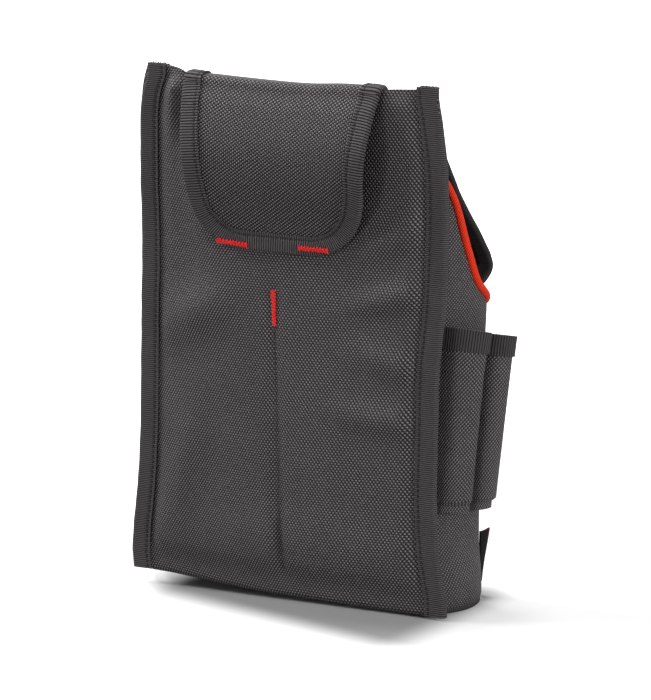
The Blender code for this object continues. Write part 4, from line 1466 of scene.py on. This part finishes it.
@dataclass
class Walls(Sewn):
    """Side walls and front in one cloth, the piping on their rim and the tape round their foot."""

    flat_width: float = 0.345
    flat_height: float = 0.235
    mean_height: float = 0.180
    rows: int = 110
    leg_steps: tuple[int, ...] = (6, 5, 26, 10, 34)
    piping_radius: float = 0.0022
    piping_thin: float = 0.72
    piping_taper: float = 0.045
    piping_step: float = 0.0009
    piping_sides: int = 16
    lip_height: float = 0.0030
    lip_depth: float = 0.0008
    lip_out: float = 0.2
    lip_clear: float = 0.0003
    lip_step: float = 0.0016
    lip_sides: int = 14

    def build(self) -> None:
        """Builds and dresses all pieces of the walls."""
        wall = self.wall()
        piping = self.piping()
        foot = self.base_tape()

    def columns(self) -> list[tuple[Side, Leg, float]]:
        """Columns of the wall, from the right flange round the front to the left one.

        Returns:
            The side, stretch and share of that stretch of each column.
        """
        half = [(leg, i / steps) for leg, steps in zip(Leg, self.leg_steps) for i in range(steps)]
        right = [(Side.RIGHT, leg, t) for leg, t in half]
        left = [(Side.LEFT, leg, t) for leg, t in reversed(half)]
        return right + [(Side.RIGHT, Leg.FRONT, 1.0)] + left

    def column(self, key: tuple[Side, Leg, float], z: Array) -> Array:
        """Points of one column.

        Args:
            key: The column.
            z: Heights.

        Returns:
            The points at those heights.
        """
        side, leg, share = key
        flat = self.shape.wall(z, side, leg, share)
        return triple(flat[..., 0] * side.value, flat[..., 1], z)

    def rim_line(self) -> Array:
        """Upper edge of the wall.

        Returns:
            Its points, column by column.
        """
        line = []
        for key in self.columns():
            height = self.shape.rim(self.column(key, self.shape.rim_front)[1])
            line.append(self.column(key, height))
        return np.array(line)

    def wall(self) -> Object:
        """Cloth of the side walls and the front.

        Returns:
            The cloth.
        """
        shape = self.shape
        rim = self.rim_line()
        columns = []
        for key, top in zip(self.columns(), rim):
            back = self.column(key, shape.rim_front)[1] < shape.bend_y
            foot = shape.base_round if back else shape.cloth + 2 * shape.gap
            columns.append(self.column(key, np.linspace(foot, top[2], self.rows)))
        points = np.array(columns).transpose(1, 0, 2)
        along = run_length(rim[:, :2])
        flat = pair(np.broadcast_to(along, points.shape[:2]), points[..., 2])
        sheet = grid_sheet("body_wall_cloth", shape.settle(points), flat, shape.cloth)
        return place(sheet, self.finishes.wall, Slot.CLOTH, "body_wall")

    def piping(self) -> Object:
        """Red ribbed cord along the rim, from one back seam round the front to the other.

        Returns:
            The cord.
        """
        shape = self.shape
        rim = self.rim_line()
        rim = resampled(rim[rim[:, 1] > shape.lining_face + shape.gap], self.piping_step)
        run = run_length(rim)
        ends = np.minimum(run, run[-1] - run)
        radius = self.piping_radius * blend(self.piping_thin, 1.0, ease(ends / self.piping_taper))
        radius *= np.sqrt(np.clip(ends / self.piping_radius + 0.2, 0.05, 1.0))
        ahead = unit(np.gradient(rim, axis=0))
        up = unit(np.array([0, 0, 1.0]) - ahead * ahead[:, 2:])
        course = rim + up * (radius + shape.gap)[:, None]
        angles = np.linspace(0, 2 * np.pi, self.piping_sides + 1)
        rings = rings_round(course, radius, np.cross(ahead, up), up, angles[:-1])
        obj = ring_solid("mouth_cord", rings, run, angles * self.piping_radius)
        return place(obj, self.finishes.piping, Slot.PIPING, "mouth_piping")

    def base_tape(self) -> Object:
        """Tape rolled round the seam at the foot of the walls.

        Returns:
            The tape.
        """
        shape = self.shape
        keys = [key for key in self.columns() if key[1] in (Leg.WALL, Leg.CORNER, Leg.FRONT)]
        line = np.array([self.column(key, np.array(shape.cloth)) for key in keys])
        line = resampled(line[line[:, 1] > shape.bend_y], self.lip_step)
        ahead = unit(np.gradient(line, axis=0))
        out = triple(ahead[:, 1], -ahead[:, 0], 0.0)
        angles = np.linspace(0, 2 * np.pi, self.lip_sides + 1)
        middle = line + out * (shape.cloth / 2 + self.lip_depth * self.lip_out)
        middle[:, 2] = self.lip_height / 2 + self.lip_clear
        rings = middle[:, None] + (
            out[:, None] * (np.cos(angles[:-1]) * self.lip_depth)[None, :, None]
            + np.array([0.0, 0.0, 1.0]) * (np.sin(angles[:-1]) * self.lip_height / 2)[None, :, None])
        obj = ring_solid("base_tape", shape.settle(rings), run_length(line), angles * self.lip_height / 2)
        return place(obj, self.finishes.lip, Slot.TAPE, "base_binding")


@dataclass
class BeltLoop(Sewn):
    """Wide loop that folds over the top edge, with its tape and the two red bar tacks."""

    width: float = 0.1125
    top_reach: tuple[float, float] = (0.05745, 0.0522)
    foot_reach: tuple[float, float] = (0.04675, 0.0459)
    corners: tuple[tuple[float, float], tuple[float, float]] = ((0.024, 0.024), (0.031, 0.037))
    foot: float = 0.178
    cloth: float = 0.0016
    binding: float = 0.010
    leg: float = 0.010
    bow_left: float = 0.008
    bow_right: float = 0.011
    bow_power: float = 1.3
    sewn: float = 0.011
    row_step: float = 0.0018
    columns: int = 60
    edge_step: float = 0.0007
    tape_step: float = 0.0009
    foot_steps: int = 50
    tack_length: float = 0.016
    tack_width: float = 0.0023
    tack_inset: float = 0.0026
    tack_tilt: float = 0.0012
    tack_thread: float = 0.00036
    tack_pitch: float = 0.00088
    tack_slant: float = 0.9
    tack_lanes: tuple[float, ...] = (-0.45, 0.05, 0.5)
    tack_uneven: float = 0.16
    tack_end: float = 0.22
    tack_loft: float = 2.6
    tack_loft_uneven: float = 0.7
    tack_round: float = 0.6
    tack_steps: int = 9
    zigzag_steps: int = 7
    tack_centres: tuple[float, float] = (-0.0277, 0.0177)
    tack_rises: tuple[float, float] = (0.0008, 0.0015)
    pocket_tack_top: float = 0.158
    pocket_tack_length: float = 0.018

    @property
    def standoff(self) -> float:
        """From the panel's face to the middle of the loop's cloth."""
        return self.shape.taped + self.cloth / 2

    @property
    def run(self) -> float:
        """Length of the loop from its foot to the panel's top edge."""
        return self.shape.panel_height - self.foot

    @property
    def turn(self) -> float:
        """Length of one bend over the top edge."""
        return self.standoff * math.pi / 2

    @property
    def crest(self) -> float:
        """Length that lies level on the top edge."""
        return self.shape.lining_face - self.shape.back_face

    @property
    def end(self) -> float:
        """Whole length of the loop's pattern."""
        return self.run + 2 * self.turn + self.crest + self.leg

    def at(self, x: Array, s: Array) -> Array:
        """Middle surface of the loop: up from its foot, over the top edge and down inside.

        Args:
            x: Places across the pattern.
            s: Places along it, from its foot.

        Returns:
            The points at those places.
        """
        shape, r = self.shape, self.standoff
        x, s = np.broadcast_arrays(np.asarray(x, float), np.asarray(s, float))
        share = (s - self.sewn) / (self.run - self.sewn)
        full = blend(self.bow_left, self.bow_right, 0.5 + x / self.width)
        bow = full * swell(share, self.bow_power)
        top = shape.crest(x)
        z = self.foot + s * (top - self.foot) / self.run
        turned = s - self.run
        up = np.clip(turned / r, 0, math.pi / 2)
        level = np.clip(turned - self.turn, 0, self.crest)
        down = np.clip((turned - self.turn - self.crest) / r, 0, math.pi / 2)
        hang = np.maximum(turned - 2 * self.turn - self.crest, 0)
        y = shape.back_face - r * np.cos(up) + level + r * np.sin(down)
        height = top + r * np.sin(up) - r * (1 - np.cos(down)) - hang
        front = turned <= 0
        lift = np.where(front, bow + shape.relief(x, z), 0.0)
        return triple(x, y - lift, np.where(front, z, height))

    def edge(self, s: Array, side: Side, inset: float = 0.0) -> Array:
        """Place across the pouch of one side of the pattern, round its foot's corner.

        Args:
            s: Places along the pattern, from its foot.
            side: Which side.
            inset: How far inside the outline.

        Returns:
            The places across the pouch.
        """
        k = 0 if side is Side.LEFT else 1
        reach = blend(self.foot_reach[k], self.top_reach[k], np.minimum(s / self.run, 1.0))
        wide, tall = (size - inset for size in self.corners[k])
        short = np.clip(1 - (s - inset) / tall, 0.0, 1.0)
        return side.value * (reach - inset - wide * (1 - np.sqrt(1 - short**2)))

    def places(self, inset: float, step: float) -> Array:
        """Places along the pattern, close together at its foot.

        Args:
            inset: How far inside the outline the first one is.
            step: About how far apart they are.

        Returns:
            The places.
        """
        tall = max(size for _, size in self.corners)
        angles = np.linspace(0, np.pi / 2, int(tall / step))
        low = inset + (tall - inset) * (1 - np.cos(angles))
        return np.concatenate([low, np.arange(tall + step, self.end, step)])

    def build(self) -> None:
        """Builds and dresses the loop, its tape, its sewing and the tacks."""
        inset = self.shape.tape_inset
        places = self.places(inset, self.row_step)[:, None]
        left, right = (self.edge(places, side, inset) for side in Side)
        x = blend(left, right, np.linspace(0, 1, self.columns))
        s = np.broadcast_to(places, x.shape)
        sheet = grid_sheet("belt_loop_cloth", self.at(x, s), pair(x, s), self.cloth)
        place(sheet, self.finishes.loop, Slot.CLOTH, "belt_loop")
        tape = TapeFold(self.binding, self.cloth, self.shape.tape)
        band = self.bind("belt_loop", tape, self.outline(), self.at, self.finishes.loop_tape)[0]
        self.end
        self.tacks()

    def outline(self) -> Array:
        """Edge of the pattern, down the left side, round the foot and up the right side.

        Returns:
            Flat points of the edge.
        """
        places = self.places(0.0, self.edge_step)
        left = pair(self.edge(places, Side.LEFT), places)[::-1]
        right = pair(self.edge(places, Side.RIGHT), places)
        foot = np.linspace(left[-1], right[0], self.foot_steps)[1:-1]
        return resampled(np.concatenate([left, foot, right]), self.tape_step)

    def tacks(self) -> None:
        """Red bar tacks: two on the loop's lower edge and one upright on the pocket's seam."""
        shape = self.shape
        for side, centre, rise in zip(Side, self.tack_centres, self.tack_rises):
            z = self.foot + self.tack_inset + rise
            x = np.linspace(centre - self.tack_length / 2, centre + self.tack_length / 2, self.tack_steps)
            face = shape.back_face - shape.taped - self.cloth - shape.gap - shape.tape - shape.relief(x, z)
            tilt = self.tack_tilt * (centre - x) / self.tack_length if side is Side.LEFT else 0 * x
            self.tack("belt_loop_tack_" + side.name.lower(), triple(x, face, z + tilt))
        foot = self.pocket_tack_top - self.pocket_tack_length
        heights = np.linspace(self.pocket_tack_top, foot, self.tack_steps)
        x = SmoothLine(shape.divide)(heights)
        self.tack("pocket_tack", triple(x, shape.back_face - shape.relief(x, heights), heights))

    def tack(self, node: str, course: Array) -> None:
        """One bar tack: close zigzag stitches laid over long threads.

        Args:
            node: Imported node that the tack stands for.
            course: Points from one end of the bar to the other, on the cloth.
        """
        run = run_length(course)
        out = np.array([0.0, -1.0, 0.0])
        ahead = unit(course[-1] - course[0])
        aside = np.cross(ahead, out)
        half, radius = self.tack_width / 2, self.tack_thread
        courses = [course + aside * half * lane + out * radius for lane in self.tack_lanes]
        count = int(round(run[-1] / self.tack_pitch))
        t = np.linspace(0, 1, self.zigzag_steps)
        for i in range(count + 1):
            sign = 1 if i % 2 else -1
            uneven = chance(i * 3.1, course[0, 0] * 900, 2.0)
            reach = half * (1.0 + self.tack_uneven * uneven + (self.tack_end if i in (0, count) else 0.0))
            where = np.clip((i + self.tack_slant * (t - 0.5)) * self.tack_pitch, 0.0, run[-1])
            loft = radius * (self.tack_loft + self.tack_loft_uneven * uneven)
            over = loft * np.sin(np.pi * t) ** self.tack_round
            zigzag = aside * (sign * reach * np.cos(np.pi * t))[:, None] + out * over[:, None]
            courses.append(spots_along(where, run, course) + zigzag)
        obj = thread_tubes(node + "_stitches", courses, radius)
        place(obj, self.finishes.tack, Slot.THREAD, node)


@dataclass
class SlipPocket(Sewn):
    """Pocket with a taped upper edge, its pattern mirrored so that its normal points away from the wall."""

    width: float
    bottom: float
    top: float
    binding: float = 0.010
    rows: int = 40

    def at(self, x: Array, s: Array) -> Array:
        """Middle surface of the pocket."""
        raise NotImplementedError

    def columns(self) -> Array:
        """Places across the pattern, close together beside the seams."""
        raise NotImplementedError

    def cut(self, name: str, cloth: float, finish: Material, slot: Slot) -> tuple[Object, Object]:
        """Builds and dresses a pocket's cloth, its tape and its sewing.

        Args:
            name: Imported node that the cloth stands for.
            cloth: Thickness of the cloth.
            finish: Its material.
            slot: The record's slot of that finish.

        Returns:
            The cloth and the tape.
        """
        columns = self.columns()
        heights = np.linspace(self.bottom, self.top - self.shape.tape - self.shape.gap, self.rows)
        x, s = np.meshgrid(columns, heights)
        sheet = grid_sheet(name + "_cloth", self.at(x, s), pair(x, s), cloth)
        place(sheet, finish, slot, name)
        tape = TapeFold(self.binding, cloth, self.shape.tape)
        return sheet, self.bind(name, tape, pair(columns[::-1], self.top), self.at)[0]


@dataclass
class InnerPocket(SlipPocket):
    """Slip pocket on the lining, in two halves beside its middle seam."""

    width: float = 0.114
    bottom: float = 0.006
    top: float = 0.158
    divide: float = -0.008
    swell_top: float = 0.009
    swell_bottom: float = 0.004
    fullness: float = 1.08
    half_columns: int = 34

    def at(self, x: Array, s: Array) -> Array:
        """Middle surface of the pocket.

        Args:
            x: Places across the mirrored pattern.
            s: Places along it, which are heights.

        Returns:
            The points at those places.
        """
        shape = self.shape
        x = -np.asarray(x, float)
        side = np.where(x < self.divide, -self.width / 2, self.width / 2)
        share = (x - self.divide) / (side - self.divide)
        height = (s - self.bottom) / (self.top - self.bottom)
        out = blend(self.swell_bottom, self.swell_top, height) * swell(share, shape.swell_power)
        lift = blend(shape.gap, shape.taped, height) + shape.lining / 2
        return triple(x, shape.lining_face + lift + out, s)

    def columns(self) -> Array:
        """Places across the pattern, close together beside the seams.

        Returns:
            The places.
        """
        share = (1 - np.cos(np.linspace(0, np.pi, self.half_columns))) / 2
        left = blend(-self.width / 2, self.divide, share)
        right = blend(self.divide, self.width / 2, share)
        return -np.concatenate([left, right[1:]])[::-1]

    def build(self) -> None:
        """Builds and dresses the pocket, its tape and its sewing."""
        sheet, band = self.cut("inner_pocket", self.shape.lining, self.finishes.lining, Slot.LINING)


@dataclass
class ToolLoops(Sewn):
    """Strip sewn to the right wall at three lines, so that it stands off in two tubes."""

    width: float = 0.021
    sewn: float = 0.0030
    bend: float = 0.0024
    front: float = 0.004
    bottom: float = 0.0495
    top: float = 0.136
    rise_bottom: float = 0.0025
    rise_top: float = 0.011
    swell_top: float = 0.016
    swell_bottom: float = 0.008
    hem: float = 0.0055
    hem_pinch: float = 0.28
    hem_fade: float = 0.002
    row_step: float = 0.001
    hem_rows: int = 8
    rows: int = 48
    arc_steps: int = 9
    step: float = 0.0008
    binding: float = 0.010
    binding_over: float = 0.0002
    binding_rows: int = 9

    def profile(self) -> Array:
        """Cross-section of one tube at full swell.

        Returns:
            Points as place along the wall and stand-off.
        """
        crown = self.width / 2 - self.sewn
        low, high = self.sewn, self.width - self.sewn
        course = [np.array(p) for p in ((0, 0), (low, 0), (low, self.swell_top), (high, self.swell_top),
                                        (high, 0), (self.width, 0))]
        points = [course[0]]
        for i, radius in enumerate((self.bend, crown, crown, self.bend), start=1):
            for t in np.linspace(0, 1, self.arc_steps):
                points.append(rounded(course[i - 1], course[i], course[i + 1], radius, t))
        points.append(course[-1])
        line = np.array(points)
        keep = np.concatenate([[True], np.linalg.norm(np.diff(line, axis=0), axis=1) > 1e-6])
        return resampled(line[keep], self.step)

    def line(self, z: float) -> Array:
        """Middle line of the strip, back and up along the wall.

        Args:
            z: Its height at the front end.

        Returns:
            The points of both tubes.
        """
        height = (z - self.bottom) / (self.top - self.bottom)
        pinch = 1 - self.hem_pinch * ease((self.bottom + self.hem - z) / self.hem_fade)
        swelling = pinch * blend(self.swell_bottom, self.swell_top, height) / self.swell_top
        slope = blend(self.rise_bottom, self.rise_top, height) / (2 * self.width)
        profile = self.profile()
        tubes = []
        for start in (0.0, self.width):
            places = start + profile[:, 0]
            level = z + slope * places
            flat, out = self.shape.wall_back(self.front + places, level)
            flat = flat + out * (self.shape.cloth + self.shape.gap)
            tubes.append(triple(flat[:, 0] + profile[:, 1] * swelling, flat[:, 1], level))
        return np.concatenate([tubes[0], tubes[1][1:]])

    def build(self) -> None:
        """Builds and dresses the strip and the tape on its upper edge."""
        hem = self.bottom + self.hem
        heights = np.concatenate([np.linspace(self.bottom, hem + self.row_step, self.hem_rows),
                                  np.linspace(hem + 2 * self.row_step, self.top, self.rows)])
        points = np.array([self.line(z) for z in heights])
        along = run_length(points[-1])
        flat = pair(np.broadcast_to(along[-1] - along, points.shape[:2]), points[..., 2])
        sheet = grid_sheet("tool_loops_cloth", points[:, ::-1], flat[:, ::-1], self.shape.cloth)
        place(sheet, self.finishes.tubes, Slot.CLOTH, "tool_loops")
        band = self.band()

    def band(self) -> Object:
        """Tape round the tubes' upper edge.

        Returns:
            The tape.
        """
        shape = self.shape
        rows = []
        offset = shape.cloth / 2 + shape.gap + shape.tape / 2
        heights = np.linspace(self.top - self.binding, self.top + self.binding_over, self.binding_rows)
        for z in heights:
            line = self.line(z)
            ahead = unit(np.gradient(line[:, :2], axis=0))
            rows.append(line + triple(-ahead[:, 1], ahead[:, 0], 0.0) * offset)
        points = np.array(rows)
        flat = pair(np.broadcast_to(heights[:, None], points.shape[:2]), run_length(points[-1]))
        sheet = grid_sheet("tool_loops_tape", points[:, ::-1], flat[:, ::-1], shape.tape)
        return place(sheet, self.finishes.tube_tape, Slot.TAPE, "tool_loops_binding")


@dataclass
class FrontPocket(SlipPocket):
    """Slip pocket on the front."""

    width: float = 0.140
    bottom: float = 0.016
    top: float = 0.104
    swelling: float = 0.008
    column_count: int = 70

    def at(self, x: Array, s: Array) -> Array:
        """Middle surface of the pocket.

        Args:
            x: Places across the mirrored pattern.
            s: Places along it, which are heights.

        Returns:
            The points at those places.
        """
        shape = self.shape
        x = -np.asarray(x, float)
        height = (s - self.bottom) / (self.top - self.bottom)
        lift = shape.cloth / 2 + blend(shape.gap, shape.taped, height)
        out = self.swelling * np.maximum(height, 0.0) * swell(0.5 + x / self.width, shape.swell_power)
        return triple(x, shape.front_face + lift + out, s)

    def columns(self) -> Array:
        """Places across the pattern, close together beside the seams."""
        return -self.width / 2 * np.cos(np.linspace(0, np.pi, self.column_count))

    def build(self) -> None:
        """Builds and dresses the pocket, its tape and its sewing."""
        sheet, band = self.cut("front_pocket", self.shape.cloth, self.finishes.wall, Slot.CLOTH)


@dataclass
class CoverFlap(Sewn):
    """Coated flap that lies over the mouth, hinged along its sewn root."""

    root_width: float = 0.160
    front_width: float = 0.174
    hinge_height: float = 0.2418
    hinge_standoff: float = 0.0017
    tip_height: float = 0.1582
    corner: float = 0.009
    binding: float = 0.010
    root_start: float = 0.0015
    binding_start: float = 0.0045
    tape_height: float = 0.010
    tape_width: float = 0.128
    rows: int = 44
    columns: int = 70
    side_step: float = 0.0012
    corner_room: float = 0.001
    corner_steps: int = 12
    tape_corner_steps: int = 24
    tape_edge_steps: int = 90
    root_columns: int = 60
    root_rows: int = 8
    sag: Knots = ((0.00, 0.0000), (0.32, 0.0024), (0.38, 0.0027), (0.48, 0.0044), (0.585, 0.0065),
                  (0.69, 0.0089), (0.79, 0.0105), (0.86, 0.0114), (0.945, 0.0092), (1.00, 0.0000))

    @property
    def hinge(self) -> Array:
        """Point of the hinge line in the middle plane."""
        return np.array([0.0, self.shape.lining_face + self.hinge_standoff, self.hinge_height])

    @property
    def tip(self) -> Array:
        """Point of the free edge in the middle plane."""
        return np.array([0.0, self.shape.front_face, self.tip_height])

    @property
    def reach(self) -> float:
        """Straight distance from the hinge line to the free edge."""
        return float(np.linalg.norm(self.tip - self.hinge))

    def at(self, x: Array, s: Array) -> Array:
        """Middle surface of the flap.

        Args:
            x: Places across the pattern.
            s: Places along it, from the hinge line down to the free edge.

        Returns:
            The points at those places.
        """
        x, s = np.broadcast_arrays(np.asarray(x, float), np.asarray(s, float))
        along = (self.tip - self.hinge) / self.reach
        out = SmoothLine(self.sag)(s / self.reach)
        y = self.hinge[1] + along[1] * s - along[2] * out
        z = self.hinge[2] + along[2] * s + along[1] * out
        return triple(x, y, z)

    def half(self, s: Array) -> Array:
        """Half width of the pattern, without its round corners."""
        return blend(self.root_width, self.front_width, s / self.reach) / 2

    def corner_rows(self, inset: float, steps: int) -> Array:
        """Round-cornered free end of the pattern, from the straight sides to its edge.

        Args:
            inset: How far inside the outline.
            steps: Number of rows.

        Returns:
            Half width and place along the pattern of each row.
        """
        angles = np.linspace(np.pi / 2, 0, steps)
        radius = self.corner - inset
        s = self.reach - inset - radius * (1 - np.cos(angles))
        return pair(self.half(s) - inset - radius * (1 - np.sin(angles)), s)

    def outline(self) -> Array:
        """Edge of the pattern, down the right side, along the free edge and up the left side.

        Returns:
            Flat points of the edge.
        """
        places = np.arange(self.binding_start, self.reach - self.corner, self.side_step)
        corner = self.corner_rows(0.0, self.tape_corner_steps)
        right = np.concatenate([pair(self.half(places), places), corner])
        left = (right * np.array([-1.0, 1.0]))[::-1]
        edge = np.linspace(right[-1], left[0], self.tape_edge_steps)[1:-1]
        return np.concatenate([right, edge, left])

    def build(self) -> None:
        """Builds and dresses the flap, its edge tape and the tape of its root."""
        inset = self.shape.tape_inset
        places = np.linspace(self.root_start, self.reach - self.corner - self.corner_room, self.rows)
        corner = self.corner_rows(inset, self.corner_steps)
        pattern = np.concatenate([pair(self.half(places) - inset, places), corner])
        x = pattern[:, :1] * np.linspace(-1, 1, self.columns)
        s = np.broadcast_to(pattern[:, 1:], x.shape)
        sheet = grid_sheet("cover_flap_cloth", self.at(x, s), pair(x, s), self.shape.cloth)
        place(sheet, self.finishes.flap, Slot.LINING, "cover_flap", body=Body.FLAP)
        tape = TapeFold(self.binding, self.shape.cloth, self.shape.tape)
        sewn_on = self.bind("cover_flap", tape, self.outline(), self.at, self.finishes.flap_tape, Body.FLAP)
        self.root_tape()

    def root_tape(self) -> None:
        """Tape that holds the flap's root on the lining."""
        shape = self.shape
        top = self.hinge_height - self.hinge_standoff
        x = np.linspace(self.tape_width / 2, -self.tape_width / 2, self.root_columns)
        heights = np.linspace(top - self.tape_height, top, self.root_rows)
        points = triple(x[None, :], shape.lining_face + shape.gap + shape.tape / 2, heights[:, None])
        flat = pair(points[..., 2], points[..., 0])
        sheet = grid_sheet("flap_root_strip", points, flat, shape.tape)
        place(sheet, self.finishes.tape, Slot.TAPE, "flap_root_tape")


@dataclass
class SideTab:
    """Folded tape tab at the right front corner, bare, with a red line along its free edge."""

    finishes: Finishes
    bottom: float = 0.009
    top: float = 0.035
    length: float = 0.010
    thickness: float = 0.0010
    turn: float = 102.0
    twist: float = 26.0
    curl: float = 0.0006
    root: tuple[float, float] = (0.08315, 0.02355)
    columns: int = 14
    rows: int = 20

    def build(self) -> None:
        """Builds and dresses the tab."""
        reaches = np.linspace(0, self.length, self.columns)
        a, z = np.meshgrid(reaches, np.linspace(self.bottom, self.top, self.rows))
        height = (z - self.bottom) / (self.top - self.bottom)
        turn = np.radians(self.turn + self.twist * (0.5 - height))
        x = self.root[0] + a * np.cos(turn) + self.curl * np.sin(np.pi * a / self.length)
        y = self.root[1] + a * np.sin(turn)
        points = triple(x, y, z)[:, ::-1]
        sheet = grid_sheet("side_tab_tape", points, pair(a, z)[:, ::-1], self.thickness)
        place(sheet, self.finishes.tab, Slot.TAB, "side_tab", body=Body.TAB)


# Studio


@dataclass(frozen=True)
class Lamp:
    """One soft round lamp: its place, width and power in watts."""

    name: str
    spot: Point
    size: float
    power: float

    def build(self, target: Point) -> None:
        """Hangs the lamp.

        Args:
            target: What it looks at.
        """
        light = bpy.data.lights.new(self.name, "AREA")
        light.shape = "DISK"
        light.size = self.size
        light.energy = self.power
        lamp = bpy.data.objects.new(self.name, light)
        lamp.location = self.spot
        lamp.rotation_euler = (Vector(target) - Vector(self.spot)).to_track_quat("-Z", "Y").to_euler()
        bpy.context.scene.collection.objects.link(lamp)


@dataclass(frozen=True)
class Glow:
    """Painted light on the floor, seen by the camera alone: white that rises from one reach in a direction
    to another and covers the shadow beyond it.
    """

    way: Point
    start: float
    end: float
    strength: float


@dataclass
class Studio:
    """Pale floor, soft light and the camera at the photograph's angle."""

    azimuth: float = 28.0
    elevation: float = 11.89
    distance: float = 3.2
    focal_pixels: float = 6400.0
    target: Point = (0.00806, 0.0, 0.1248)
    sensor: float = 36.0
    floor_size: float = 14.0
    floor_drop: float = 0.0002
    # The floor's tone is dim. The glows paint white over it beyond set reaches from the pouch, so its
    # shadow is cut off there by painted light.
    floor_tone: float = 0.36
    floor_bounce: float = 0.35
    glows: tuple[Glow, ...] = (
        Glow((-0.30, -1.0, 0.0), 0.040, 0.074, 0.85),
        Glow((0.0, 1.0, 0.0), 0.030, 0.060, 0.85),
        Glow((1.0, 0.0, 0.0), 0.074, 0.104, 0.65),
        Glow((-1.0, 0.0, 0.0), 0.060, 0.090, 0.75),
    )
    ambient: float = 0.18
    lamps: tuple[Lamp, ...] = (
        Lamp("key", (-0.18, 0.22, 2.3), 0.5, 32.0),
        Lamp("left", (-1.5, -0.45, 1.35), 0.8, 27.0),
        Lamp("right", (1.9, -0.45, 0.45), 0.6, 20.0),
        Lamp("fill", (-0.9, -2.3, 0.35), 0.6, 10.0),
    )

    def build(self) -> None:
        """Builds the whole set."""
        self.floor()
        self.world()
        for lamp in self.lamps:
            lamp.build(self.target)
        self.camera()
        bpy.context.scene.view_settings.view_transform = "Standard"

    def floor(self) -> None:
        """Large floor that keeps the shadow near the pouch and looks white to the camera: its tone is dim,
        and painted light whitens it beyond set reaches round the pouch.
        """
        bpy.ops.object.select_all(action="DESELECT")
        bpy.ops.mesh.primitive_plane_add(size=self.floor_size, location=(0.0, 0.0, -self.floor_drop))
        floor = bpy.context.object
        floor.name = "floor"
        bpy.ops.object.transform_apply(location=True)
        sketch = Sketch("pale_floor", roughness=0.9, specular=0.1)
        seen = sketch.new("LightPath", {}).outputs["Is Camera Ray"]
        tone = sketch.span(seen, self.floor_bounce, self.floor_tone)
        sketch.set(sketch.shader.inputs["Base Color"], tone)
        spot = sketch.new("TexCoord", {}).outputs["Object"]
        # Painted light: white emission for the camera, strongest beyond each glow's reach.
        lift: Socket = 0.0
        for glow in self.glows:
            reach = sketch.new("VectorMath", {0: spot, 1: glow.way}, operation="DOT_PRODUCT")
            ends = (0.0, glow.strength, glow.start, glow.end)
            lift = sketch.plus(lift, sketch.span(reach.outputs["Value"], *ends, "SMOOTHSTEP"))
        white = sketch.new("Emission", {"Color": WHITE, "Strength": sketch.times(seen, lift)})
        total = sketch.new("AddShader", {0: sketch.shader.outputs[0], 1: white.outputs[0]})
        sketch.set(sketch.tree.nodes["Material Output"].inputs["Surface"], total.outputs[0])
        floor.data.materials.append(sketch.material)

    def world(self) -> None:
        """White surroundings: full white to the camera and in gloss, softer as light."""
        world = bpy.data.worlds.new("studio")
        bpy.context.scene.world = world
        world.use_nodes = True
        nodes = Nodes(world.node_tree)
        sky = nodes.tree.nodes["Background"]
        sky.inputs["Color"].default_value = WHITE
        path = nodes.new("LightPath", {}).outputs
        seen = path["Is Camera Ray"]
        for ray in ("Is Glossy Ray", "Is Transmission Ray"):
            seen = nodes.math("MAXIMUM", seen, path[ray])
        nodes.set(sky.inputs["Strength"], nodes.span(seen, self.ambient, 1.0))

    def camera(self) -> None:
        """Camera that frames the pouch as the photograph does."""
        azimuth, elevation = math.radians(self.azimuth), math.radians(self.elevation)
        back = Vector((math.sin(azimuth) * math.cos(elevation), -math.cos(azimuth) * math.cos(elevation),
                       math.sin(elevation)))
        data = bpy.data.cameras.new("camera")
        data.sensor_width = self.sensor
        data.lens = self.focal_pixels / max(IMAGE_SIZE) * self.sensor
        data.clip_end = 50.0
        camera = bpy.data.objects.new("camera", data)
        camera.location = Vector(self.target) + back * self.distance
        camera.rotation_euler = (-back).to_track_quat("-Z", "Y").to_euler()
        bpy.context.scene.collection.objects.link(camera)
        bpy.context.scene.camera = camera


def main() -> None:
    """Builds the sub-assemblies in order, and the studio round them."""
    logging.basicConfig(level=logging.INFO, format="%(name)s %(message)s")
    bpy.ops.object.select_all(action="DESELECT")
    shape = PouchShape()
    finishes = Finishes()
    for assembly in (Back, Walls, BeltLoop, InnerPocket, ToolLoops, FrontPocket, CoverFlap):
        assembly(shape, finishes).build()
    SideTab(finishes).build()
    Studio().build()


if __name__ == "__main__":
    main()
